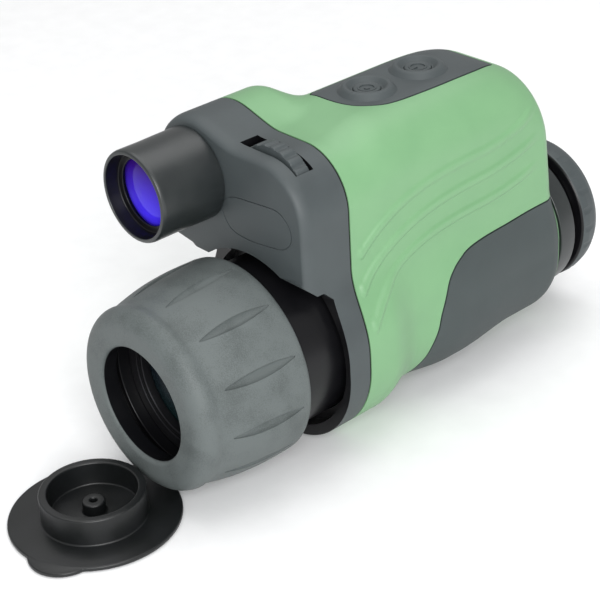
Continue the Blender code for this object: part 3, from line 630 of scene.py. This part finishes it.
def form(name, stations, steps=96, mat=None, ribbed=False):
    """Solid skinned over stations of (y, inset) of the outer form."""
    y = np.array([station[0] for station in stations])[:, None]
    inset = np.array([station[1] for station in stations])[:, None]
    angle = 2 * np.pi * np.arange(steps)[None, :] / steps
    dx, dz = np.sin(angle), np.cos(angle)
    low = np.zeros((len(stations), steps))
    high = np.full((len(stations), steps), FORM_REACH)
    for _ in range(HALVINGS):
        middle = (low + high) / 2
        x, z = CENTRE_X + middle * dx, CENTRE_Z + middle * dz
        distance = body_distance(x, z, y) + inset
        if ribbed:
            distance = distance - ribs(x, z, y)
        low = np.where(distance < 0, middle, low)
        high = np.where(distance < 0, high, middle)
    bm = bmesh.new()
    rings = []
    for i, (station, _) in enumerate(stations):
        rings.append([bm.verts.new((CENTRE_X + r * sx, station, CENTRE_Z + r * sz))
                      for r, sx, sz in zip(low[i], dx[0], dz[0])])
    skin(bm, rings)
    for ring, station in ((rings[0], stations[0][0]), (rings[-1], stations[-1][0])):
        hub = bm.verts.new((CENTRE_X, station, CENTRE_Z))
        for i in range(steps):
            bm.faces.new((hub, ring[i], ring[(i + 1) % steps]))
    return add_object(name, bm, mat)


def shell_form(name, inset, front, back, pitch=3.0, steps=96, ribbed=False):
    """The outer form, offset inwards, with closer stations where its back rounds off."""
    ys = [*np.arange(front, BACK_ROUNDING, pitch),
          *np.arange(BACK_ROUNDING, back - 0.1, min(pitch, 1.0) / 2)]
    return form(name, [(float(y), inset) for y in ys] + [(back, inset)], steps, None, ribbed)


FINE = {"pitch": 0.6, "steps": 540, "ribbed": True}     # the visible skin
BROAD_STEPS = 420                                       # corners round the cover and the black seam piece of painted shade


# ---- casing ----------------------------------------------------------------------------

# Upper and front edge of a pad as (y, z) points, front and right edge of the panel as (x, y)
# points, and the edge of the label field as (x, z) points
PAD_EDGE = ((PAD_BACK, 19.6), (105.0, 19.4), (94.8, 18.9), (82.0, 18.6), (74.3, 17.6), (70.0, 15.8),
            (66.7, 13.6), (63.8, 10.2), (61.7, 5.0), (60.1, -0.1), (58.9, -5.3), (57.2, -10.7),
            (55.6, -16.6), (53.0, -22.0), (49.0, -26.5), (44.0, -29.5), (40.0, -45.0))
PAD_OUTLINE = spline(PAD_EDGE) + [(PAD_BACK, -45.0)]
PANEL_EDGE = ((-12.6, 45.8), (-3.9, 45.9), (1.9, 46.8), (6.2, 49.0), (9.8, 53.3), (11.4, 59.0), (12.1, 69.4),
              (12.4, 82.7), (12.0, 94.7), (10.0, 104.6))
PANEL_OUTLINE = spline(PANEL_EDGE) + [(-12.0, 104.6), (-14.2, 97.0), (-14.8, 84.0), (-14.8, 48.4)]
LABEL_EDGE = [(-11.0, 48.0), (-5.9, 51.0), (15.2, 53.0), (20.2, 49.0), (20.6, 43.6), (16.3, 40.0),
              (1.1, 38.0), (-7.3, 38.6), (-11.0, 42.8)]
DOOR_CORNERS = [(DOOR_Y[1], DOOR_Z[1]), (DOOR_Y[0], DOOR_Z[1]), (DOOR_Y[0], DOOR_Z[0]),
                (DOOR_Y[1], DOOR_Z[0])]
DOOR_OUTLINE = soften(DOOR_CORNERS, 4.0, segments=8)


def pad_prism(name, side, margin):
    """Prism across one side of the body, with the outline of its pad grown by margin."""
    low, high = sorted((side * (FOOT_HALF + 1.0 - margin), side * FAR))
    return prism(name, grow(PAD_OUTLINE, margin), "X", low, high)


def panel_prism(name, margin):
    return prism(name, grow(PANEL_OUTLINE, margin), "Z", 50.0, ABOVE)


def door_prism(name, margin):
    return prism(name, grow(DOOR_OUTLINE, margin), "X", -FAR, -16.0)


def skin_core(depth):
    """All of the shell that lies deeper than depth."""
    return shell_form("core", depth, 26.0, SHELL_BACK + 0.2)


def shell_layer(name, shape, thickness, mat):
    """Piece of the body's skin inside a prism, flush with the outer form."""
    layer = keep_inside(shape, shell_form("skin", 0.0, SHELL_FRONT, SHELL_BACK, **FINE))
    cut(layer, skin_core(thickness))
    layer.name = name
    layer.data.name = name
    layer.data.materials.append(mat)
    return layer


def pocket(shell, shape, depth):
    """A recess of even depth in the shell, inside a prism."""
    cut(shape, skin_core(depth))
    cut(shell, shape)


def upright_disc(name, x, y, z0, z1, radius):
    return upright(name, disc(z0, z1, radius), x, y)


def make_shell():
    """Shell with its pads and the battery door."""
    shell = shell_form("shell", 0.0, SHELL_FRONT, SHELL_BACK, **FINE)
    shell.data.materials.append(GREEN)
    cut(shell, shell_form("hollow", SHELL_WALL, COVER_BACK - 1.0, SHELL_BACK - 3.6))
    cut(shell, lathe("eyepiece_hole", disc(110.0, 140.0, EYE_NECK + GAP)))
    for side in (-1, 1):
        pocket(shell, pad_prism("pocket", side, SEAM), PAD_DEPTH)
    pocket(shell, panel_prism("pocket", SEAM), PANEL_THICKNESS + GAP)
    cut(shell, door_prism("door_opening", SEAM))
    for y in BUTTON_YS:
        cut(shell, upright_disc("button_hole", BUTTON_X, y, 50.0, ABOVE, BUTTON_WELL))
    cut(shell, box("foot_hole", (-FOOT_HALF - GAP, FOOT_Y[0] - GAP, -FAR),
                   (FOOT_HALF + GAP, FOOT_Y[1] + GAP, -24.0)))
    stand_for(shell, "casing", "body_shell")

    for side, label in ((-1, "left"), (1, "right")):
        pad = shell_layer("pad_" + label, pad_prism("pad", side, 0.0), PAD_THICKNESS, PAD_RUBBER)
        stand_for(pad, "casing", "grip_" + label)
    door = shell_layer("door", door_prism("door", 0.0), DOOR_THICKNESS, GREEN)
    stand_for(door, "battery_door", "battery_door")


def make_seam_shade():
    """Black piece in the joint between the cover and the shell, as painted shade in the seam."""
    stations = [(COVER_BACK, SEAM_SHADE_INSET), (SHELL_FRONT, SEAM_SHADE_INSET)]
    hollow = [(COVER_BACK - 1.0, COVER_WALL), (SHELL_FRONT + 1.0, COVER_WALL)]
    seam_shade = form("seam_shade", stations, BROAD_STEPS, GLOSS_BLACK_AND_PAINTED_SHADE)
    cut(seam_shade, form("hollow", hollow, BROAD_STEPS))
    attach(seam_shade, "casing")


def make_panel():
    """Top panel with a raised collar round each button."""
    panel = shell_layer("panel", panel_prism("panel", 0.0), PANEL_THICKNESS, CHARCOAL)
    collar = [(COLLAR_BASE, 0.0), (COLLAR_BASE, 9.9), (69.9, 9.6), (COLLAR_TOP - 0.5, 8.2),
              (COLLAR_TOP, 7.5), (COLLAR_TOP - 0.1, 6.6), (COLLAR_TOP - 1.3, 5.3),
              (COLLAR_TOP - 1.6, 4.9), (COLLAR_TOP - 1.6, 0.0)]
    for y in BUTTON_YS:
        join(panel, upright("collar", collar, BUTTON_X, y, soft=0.25))
        cut(panel, upright_disc("button_hole", BUTTON_X, y, 60.0, ABOVE, BUTTON_RADIUS + 0.2))
    stand_for(panel, "casing", "button_panel")


def make_buttons():
    """Two dished buttons, each with a raised ring and a bar or a dot."""
    profile = [(66.5, 0.0), (66.5, BUTTON_RADIUS + BUTTON_SKIRT), (67.3, BUTTON_RADIUS + BUTTON_SKIRT),
               (67.3, BUTTON_RADIUS), (BUTTON_TOP - 0.3, BUTTON_RADIUS),
               (BUTTON_TOP, BUTTON_RADIUS - 0.6), (BUTTON_TOP - 0.5, 2.5), (BUTTON_TOP - 0.6, 0.0)]
    ring = [(BUTTON_TOP - 1.0, 2.3), (BUTTON_TOP - 0.15, 2.4), (BUTTON_TOP - 0.15, 2.9),
            (BUTTON_TOP - 1.0, 3.0)]
    for label, y in zip(("front", "rear"), BUTTON_YS):
        button = upright("button_cap_" + label, profile, BUTTON_X, y, CHARCOAL, soft=0.25)
        join(button, upright("icon_ring", ring, BUTTON_X, y))
        if label == "rear":
            bar = (BUTTON_X - 0.3, y - 3.4, BUTTON_TOP - 1.0), (BUTTON_X + 0.3, y - 0.4, BUTTON_TOP - 0.1)
            join(button, box("icon_bar", *bar))
        else:
            join(button, upright("icon_dot", disc(BUTTON_TOP - 1.0, BUTTON_TOP - 0.2, 0.9), BUTTON_X, y))
        stand_for(button, "button_" + label, "button_" + label)


def in_slot(place, normal):
    """Whether a face of the cover is an end or a side of the wheel's slot."""
    inside = all(low - TOUCH <= at <= high + TOUCH
                 for (low, high), at in zip((WHEEL_SLOT_X, WHEEL_SLOT_Y), place))
    inside = inside and WHEEL_SLOT_FLOOR <= place.z <= TOP_HEIGHT
    return inside and max(abs(normal.x), abs(normal.y)) > SQUARE_ON


def in_recess(place, normal):
    """Whether a face of the cover is in the recess behind the focus ring."""
    out = Vector((place.x, 0.0, place.z))
    if place.y < COLLAR_FRONT - RECESS_STEP - TOUCH or out.length > RECESS_RADIUS + 2 * TOUCH:
        return False
    return out.dot(normal) < OUTWARD * out.length


def make_cover():
    """Front of the casing: an upper block with the illuminator, over a collar."""
    stations = []
    deep, wide = COVER_ROUNDING
    for i in range(15):
        a = radians(90 * i / 14)
        stations.append((COVER_FRONT + deep * (1 - cos(a)), wide * (1 - sin(a))))
    stations += [(y, 0.0) for y in np.linspace(11.5, COVER_BACK, 14)]
    cover = form("cover", stations, BROAD_STEPS, CHARCOAL)
    hollow = ((COVER_FRONT + COVER_WALL, COVER_WALL + 1.0), (13.0, COVER_WALL), (18.0, COVER_WALL),
              (COVER_BACK + 1.0, COVER_WALL))
    inside = form("hollow", hollow)
    cut(inside, box("floor", (-FAR, 0.0, -FAR), (FAR, COLLAR_FRONT + 1.1, BLOCK_UNDERSIDE + 7.5)))
    cut(cover, inside)

    sleeve = [(COVER_FRONT + 1.5, 26.0), (COVER_FRONT + 1.5, RECESS_RADIUS + 1.2),
              (COLLAR_FRONT - 2.2, RECESS_RADIUS + 1.2), (COLLAR_FRONT - 0.1, COLLAR_RECESS + 1.3),
              (RECESS_BACK + 2.0, COLLAR_RECESS + 1.3), (RECESS_BACK + 2.0, 26.0)]
    join(cover, lathe("sleeve", sleeve))
    recess = [(-5.0, 0.0), (-5.0, RECESS_RADIUS), (COLLAR_FRONT - RECESS_STEP, RECESS_RADIUS),
              (COLLAR_FRONT - 1.9, COLLAR_RECESS), (RECESS_BACK, COLLAR_RECESS),
              (RECESS_BACK, BARREL_RADIUS + GAP), (30.0, BARREL_RADIUS + GAP), (30.0, 0.0)]
    cut(cover, lathe("recess", recess))
    step = [(-10.0, -FAR), (COLLAR_FRONT, -FAR), (COLLAR_FRONT, BLOCK_UNDERSIDE - 3.0),
            (COLLAR_FRONT - 3.0, BLOCK_UNDERSIDE), (-10.0, BLOCK_UNDERSIDE)]
    cut(cover, prism("step", step, "X", -FAR, FAR))
    slant = [(-10.0, 0.0), (13.0, 0.0), (13.0, 23.5), (5.0, 30.8), (-10.0, 44.5)]
    cut(cover, prism("slant", slant, "X", 0.0, FAR))

    cut(cover, lathe("neck_hole", disc(0.0, 12.0, IR_NECK + GAP), x=IR_X, z=IR_Z))
    cut(cover, box("wheel_slot", (WHEEL_SLOT_X[0], WHEEL_SLOT_Y[0], WHEEL_SLOT_FLOOR),
                   (WHEEL_SLOT_X[1], WHEEL_SLOT_Y[1], ABOVE)))
    cut(cover, lathe("wheel_space", disc(*WHEEL_SLOT_Y, WHEEL_RADIUS + 0.5), x=WHEEL_X, z=WHEEL_Z))
    cut(cover, box("base", (-50.0, 0.0, -FAR), (50.0, FAR, -AXIS_HEIGHT)))

    edge = soften(LABEL_EDGE, 3.5, segments=8)
    groove = prism("groove", grow(edge, -0.2), "Y", 0.0, COVER_FRONT + 0.25)
    cut(groove, prism("label", grow(edge, 0.2), "Y", -5.0, 20.0))
    cut(cover, groove)
    # painted shade: the walls of the wheel's slot and of the recess behind the focus ring are painted black
    paint(cover, GLOSS_BLACK_AND_PAINTED_SHADE, lambda place, normal: in_slot(place, normal) or in_recess(place, normal))
    stand_for(cover, "casing", "front_cover")


def make_wheel():
    """Control wheel with square teeth."""
    outline = []
    # One tooth: the share of its pitch and the rise above the middle of the rim
    shares = ((0.0, 0.0), (0.08, 0.2), (0.5, 0.2), (0.58, 0.0), (0.68, -0.5), (0.9, -0.5))
    for i in range(WHEEL_TEETH):
        for share, rise in shares:
            angle = 2 * pi * (i + share) / WHEEL_TEETH
            r = WHEEL_RADIUS - 0.25 + rise
            outline.append((WHEEL_X + r * sin(angle), WHEEL_Z + r * cos(angle)))
    wheel = prism("wheel", outline, "Y", WHEEL_Y, WHEEL_Y + WHEEL_WIDTH, CHARCOAL, bevel=0.35)
    cut(wheel, lathe("bore", disc(0.0, 30.0, WHEEL_BORE), x=WHEEL_X, z=WHEEL_Z, steps=48))
    stand_for(wheel, "thumbwheel", "thumbwheel")


# ---- objective -------------------------------------------------------------------------

# Leaf-shaped hollows round the focus ring, and the ring's profile between its nose and its rim
LEAVES = 12
LEAF_Y = (-30.5, -3.0)
LEAF_WIDTH = 3.6
LEAF_DEPTH = 1.7
LEAF_TURN = 6.0                     # degrees from the top to the first one
LEAF_STATIONS = 32
LEAF_CORNERS = 24
RING_OUTER = spline([(NOSE_Y, NOSE_RADIAL + NOSE_RISE), (-34.2, 30.1), (-33.0, 30.0), (-31.5, 30.25),
                     (-29.5, 30.75), (-26.5, 31.4), (-22.5, 32.15), (-18.0, 32.7), (-11.0, 33.1),
                     (-2.4, 33.0)])


def ring_radius(y):
    """Radius of the focus ring's outside at y."""
    return float(np.interp(y, [p[0] for p in RING_OUTER], [p[1] for p in RING_OUTER]))


def leaf_rings(bm, leaf):
    """Rings of corners along the spindle that cuts one leaf-shaped hollow."""
    turn = radians(LEAF_TURN + 360 * leaf / LEAVES)
    outward, along = Vector((sin(turn), 0, cos(turn))), Vector((cos(turn), 0, -sin(turn)))
    circle = [2 * pi * k / LEAF_CORNERS for k in range(LEAF_CORNERS)]
    rings = []
    for i in range(1, LEAF_STATIONS):
        share = i / LEAF_STATIONS
        y = LEAF_Y[0] + (LEAF_Y[1] - LEAF_Y[0]) * share
        half = LEAF_WIDTH / 2 * (1 - (2 * share - 1) ** 2)
        depth = LEAF_DEPTH * sin(pi * share) ** 0.7
        radius = (half * half + depth * depth) / (2 * depth)
        middle = outward * (ring_radius(y) + radius - depth) + Vector((0, y, 0))
        rings.append([bm.verts.new(middle + (outward * cos(a) + along * sin(a)) * radius) for a in circle])
    return rings


def make_ring():
    """Rubber focus ring with the inside of its mouth painted black as painted shade, on a metal sleeve."""
    nose = []
    for i in range(18):
        angle = radians(90 * i / 18)
        nose.append((NOSE_Y - (NOSE_Y - RING_FRONT) * cos(angle), NOSE_RADIAL + NOSE_RISE * sin(angle)))
    lip = []
    for i in range(12):
        angle = radians(90 * i / 11)
        lip.append((RING_FRONT + LIP_DEPTH * (1 - sin(angle)), HOLE_RADIUS + LIP_WIDTH * (1 - cos(angle))))
    rim = [(-1.0, 32.8), (-0.3, 32.3), (0.0, 31.5)]
    inner = [(0.0, 29.7), (-34.0, 29.7), (-34.0, HOLE_RADIUS + 1.2)]
    ring = lathe("ring_grip", lip + nose + RING_OUTER + rim + inner, RING_RUBBER, steps=360)

    bm = bmesh.new()
    for leaf in range(LEAVES):
        skin(bm, leaf_rings(bm, leaf), capped=True)
    cut(ring, add_object("leaves", bm))
    # painted shade: the inside of the mouth behind the lip is painted black
    paint(ring, GLOSS_BLACK_AND_PAINTED_SHADE, lambda place, _: (place.y > RING_FRONT + LIP_DEPTH
                                               and hypot(place.x, place.z) < HOLE_RADIUS + 1.3))
    stand_for(ring, "focus_ring", "focus_ring_grip")

    sleeve = lathe("ring_sleeve", tube(-33.7, -0.2, 27.3, 29.4), ALUMINIUM, soft=0.3)
    stand_for(sleeve, "focus_ring", "focus_ring")


def make_objective():
    """Barrel, and the sliding cell with the front lens and its retaining ring."""
    barrel = [(-30.0, 24.5), (-30.0, 27.0), (0.8, 27.0), (0.8, BARREL_RADIUS), (34.0, BARREL_RADIUS),
              (34.0, 24.5)]
    stand_for(lathe("barrel", barrel, GLOSS_BLACK_AND_PAINTED_SHADE, soft=0.5), "casing", "objective_barrel")
    cell = [(-26.0, 20.4), (-26.0, 24.2), (-8.0, 24.2), (-8.0, 20.4), (-16.0, 20.4), (-16.0, 18.6),
            (-18.0, 18.6), (-18.0, 20.4)]
    stand_for(lathe("lens_cell", cell, ALUMINIUM, soft=0.3), "objective_cell", "objective_cell")
    front = [(-24.2, 0.0), (-24.0, 7.0), (-23.4, 14.0), (-22.0, 20.1), (-18.3, 20.1), (-18.3, 0.0)]
    lens = lathe("front_lens", spline(front[:4]) + front[4:], GLASS)
    stand_for(lens, "objective_cell", "objective_front_lens")
    retainer = lathe("retaining_ring", tube(-25.6, -22.5, 18.4, 20.1), ALUMINIUM, soft=0.4)
    stand_for(retainer, "objective_cell", "objective_retaining_ring")


# ---- eyepiece --------------------------------------------------------------------------

def make_eyepiece():
    """Barrel with a collar and a neck painted black as painted shade, the dioptre ring with its front face
    painted black as painted shade, the eyecup and the eye lens.
    """
    front, back = EYE_BARREL
    barrel = [(front, EYE_BORE), (front, EYE_NECK), (SHELL_BACK + GAP, EYE_NECK),
              (SHELL_BACK + GAP, EYE_COLLAR), (130.5, EYE_COLLAR), (130.8, EYE_NECK),
              (back, EYE_NECK), (back, EYE_BORE)]
    body = lathe("eye_barrel", barrel, TUBE_BLACK, soft=0.5)
    # painted shade: the neck behind the collar is painted black
    paint(body, GLOSS_BLACK_AND_PAINTED_SHADE, lambda place, _: place.y > EYE_COLLAR_BACK)
    stand_for(body, "casing", "eyepiece_barrel")

    ring = [(134.8, 21.9), (134.8, 25.2), (135.6, 25.9), (138.5, 26.0), (142.0, 25.2), (144.5, 23.8),
            (145.4, 22.6), (145.4, 16.0), (142.0, 16.0), (142.0, 21.9)]
    diopter = lathe("diopter_grip", ring, CHARCOAL, steps=240, soft=0.5)
    bm = bmesh.new()
    for i in range(SCALLOPS):
        turn = 2 * pi * i / SCALLOPS
        lift = Matrix.Translation((SCALLOP_REACH * sin(turn), SCALLOP_Y, SCALLOP_REACH * cos(turn)))
        rod = lift @ Matrix.Rotation(radians(90), 4, "X")
        bmesh.ops.create_cone(bm, cap_ends=True, segments=32, radius1=SCALLOP_RADIUS,
                              radius2=SCALLOP_RADIUS, depth=6.0, matrix=rod)
    cut(diopter, add_object("scallops", bm))
    # painted shade: the faces of the dioptre ring that look forwards are painted black
    paint(diopter, GLOSS_BLACK_AND_PAINTED_SHADE, lambda _, normal: normal.y < -0.5)
    stand_for(diopter, "diopter_ring", "diopter_ring")

    cup = [(145.7, 16.4), (145.7, 21.6), (147.0, 21.0), (148.0, 18.6), (147.6, 17.0)]
    stand_for(lathe("eye_rubber", cup, CAP_RUBBER, soft=0.5), "diopter_ring", "eyecup")
    lens = [(126.5, 0.0), (126.5, 14.9), (130.0, 14.9), (131.6, 8.0), (132.2, 0.0)]
    stand_for(lathe("eye_lens", lens[:2] + spline(lens[2:]), GLASS), "eyepiece_cell", "eyepiece_eye_lens")


# ---- illuminator -----------------------------------------------------------------------

def make_illuminator():
    """Hooded tube with a bezel round its lens and the inside of its front painted black as painted shade, and
    the lens.
    """
    body = [(IR_FRONT, 13.5), (IR_FRONT + 0.2, IR_TUBE - 0.3), (IR_FRONT + 1.2, IR_TUBE),
            (-9.0, IR_TUBE), (2.0, IR_TUBE + 0.2), (COVER_FRONT - GAP, IR_TUBE + 0.2),
            (COVER_FRONT - GAP, IR_NECK), (11.5, IR_NECK), (11.5, 8.0), (-9.0, 8.0), (-9.0, 12.4),
            (-12.3, 12.4), (-13.0, 10.9), (-13.6, 10.9), (-13.6, 13.0)]
    lamp = lathe("lamp_tube", body, TUBE_BLACK, IR_X, IR_Z, soft=0.35)
    deep, wide = IR_PAINTED_SHADE
    # painted shade: the inside of the tube's front is painted black
    paint(lamp, GLOSS_BLACK_AND_PAINTED_SHADE, lambda place, _: (place.y < IR_FRONT + deep
                                               and hypot(place.x - IR_X, place.z - IR_Z) < wide))
    stand_for(lamp, "casing", "ir_tube")
    lens = [(-14.5, 0.0), (-14.2, 4.4), (-13.4, 8.6), (-11.8, 12.1), (-9.3, 12.1), (-9.3, 0.0)]
    glass = lathe("lamp_lens", spline(lens[:4]) + lens[4:], VIOLET_GLASS, IR_X, IR_Z)
    stand_for(glass, "casing", "ir_lens")


# ---- lens cap, strap and foot ----------------------------------------------------------

def make_cap():
    """Rubber cap: flange, hollow plug, centre post with a pinhole, and a pull tab."""
    floor = CAP_TOP + 1.0
    peak = CAP_TOP + 5.0
    profile = [(CAP_TOP - CAP_THICKNESS, 0.0), (CAP_TOP - CAP_THICKNESS, CAP_FLANGE), (CAP_TOP, CAP_FLANGE),
               (CAP_TOP, PLUG_RADIUS), (CAP_TOP + PLUG_HEIGHT, PLUG_RADIUS),
               (CAP_TOP + PLUG_HEIGHT, PLUG_BORE), (floor, PLUG_BORE), (floor, POST_RADIUS),
               (peak, POST_RADIUS), (peak, PINHOLE_RADIUS), (peak - 3.0, PINHOLE_RADIUS),
               (peak - 3.0, 0.0)]
    cap = upright("cap", profile, CAP_X, CAP_Y, CAP_RUBBER, steps=240, soft=0.6)
    x = CAP_X + TAB_REACH * sin(TAB_TURN)
    y = CAP_Y - TAB_REACH * cos(TAB_TURN)
    tab = upright("tab", disc(CAP_TOP - CAP_THICKNESS, CAP_TOP - 0.1, TAB_RADIUS), x, y, soft=0.5)
    cut(tab, upright_disc("plug_space", CAP_X, CAP_Y, -40.0, 0.0, PLUG_RADIUS + 2.0))
    join(cap, tab)
    stand_for(cap, "lens_cap", "lens_cap")


def make_strap():
    """Flat rubber strap from the underside of the focus ring to the cap."""
    front = CAP_Y + CAP_FLANGE - 1.0
    under, top = STRAP_Z
    bm = bmesh.new()
    rings = []
    for i in range(STRAP_STATIONS + 1):
        y = front + (STRAP_BACK - front) * i / STRAP_STATIONS
        half = STRAP_HALF_WIDTH - STRAP_WAIST * sin(pi * i / STRAP_STATIONS)
        section = soften([(-half, under), (half, under), (half, top), (-half, top)], 0.3)
        rings.append([bm.verts.new((x + STRAP_X, y, z)) for x, z in section])
    skin(bm, rings, capped=True)
    strap = add_object("strap", bm, CAP_RUBBER)
    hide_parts("cap_strap")
    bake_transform(strap)


def make_foot():
    """Rubber foot with a hole for the bush and grooves across its rear."""
    foot = box("foot", (-FOOT_HALF, FOOT_Y[0], -AXIS_HEIGHT), (FOOT_HALF, FOOT_Y[1], FOOT_TOP),
               PAD_RUBBER, bevel=0.6)
    cut(foot, upright_disc("bush_hole", 0.0, BUSH_Y, -40.0, -20.0, BUSH_RADIUS))
    for i in range(FOOT_GROOVES):
        y = FOOT_Y[1] - 2.5 - GROOVE_PITCH * i
        cut(foot, box("groove", (-FOOT_HALF - 1, y - 0.5, -AXIS_HEIGHT - 1),
                      (FOOT_HALF + 1, y + 0.5, -AXIS_HEIGHT + 0.5)))
    stand_for(foot, "casing", "tripod_foot")


# ---- carried-over CAD nodes ------------------------------------------------------------

FINISHES = {
    ALUMINIUM: ("tube_housing", "tube_clamp_ring", "eyepiece_cell", "ir_heat_sink"),
    GLOSS_BLACK_AND_PAINTED_SHADE: ("image_tube",),
    BOARD: ("main_board", "control_board"),
    STEEL: ("potentiometer", "battery_contact_front", "battery_contact_rear", "battery_spring_front",
            "battery_spring_rear", "board_screw_1", "board_screw_2", "board_screw_3", "board_screw_4"),
    BRASS: ("tripod_bush",),
    CELL: ("battery_lower", "battery_upper", "tube_power_supply", "switch_front", "switch_rear",
           "ir_emitter"),
    CHARCOAL: ("battery_tray",),
    GLASS: ("objective_rear_lens", "eyepiece_field_lens"),
}


def finish_nodes():
    """Materials for the CAD nodes that are shown as they are."""
    for mat, names in FINISHES.items():
        for name in names:
            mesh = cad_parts[name].data
            mesh.materials.clear()
            mesh.materials.append(mat)


# ---- floor and light -------------------------------------------------------------------

def softbox(name, place, target, size, power):
    """A square area light at place that shines towards target."""
    data = bpy.data.lights.new(name, "AREA")
    data.size = size
    data.energy = power
    light = bpy.data.objects.new(name, data)
    light.location = place
    light.rotation_euler = (Vector(target) - Vector(place)).to_track_quat("-Z", "Y").to_euler()
    bpy.context.scene.collection.objects.link(light)


def make_stage():
    """Pale floor, white surroundings and two soft lights."""
    bm = bmesh.new()
    bmesh.ops.create_grid(bm, x_segments=2, y_segments=2, size=4.0)
    mesh = bpy.data.meshes.new("floor")
    bm.to_mesh(mesh)
    bm.free()
    pale = plastic("pale_floor", (0.93, 0.935, 0.94), (0.9, 0.905, 0.91), 0.8, grain=2.0, relief=0.3)
    floor = add_mesh("floor", mesh, pale)
    floor.location.z = -0.2 * MM        # so that no face of the monocular lies in the same plane

    world = bpy.data.worlds.new("studio")
    world.use_nodes = True
    background = world.node_tree.nodes["Background"]
    background.inputs["Color"].default_value = (1.0, 1.0, 1.0, 1.0)
    background.inputs["Strength"].default_value = 0.5
    bpy.context.scene.world = world
    bpy.context.scene.view_settings.view_transform = "Standard"

    softbox("key", (0.85, -0.6, 0.55), (0.0, -0.05, 0.03), 0.7, 12.0)
    softbox("overhead", (-0.1, 0.1, 0.95), (0.0, 0.0, 0.0), 1.0, 5.5)


make_camera()
make_shell()
make_seam_shade()
make_panel()
make_buttons()
make_cover()
make_wheel()
make_ring()
make_objective()
make_eyepiece()
make_illuminator()
make_cap()
make_strap()
make_foot()
finish_nodes()
make_stage()
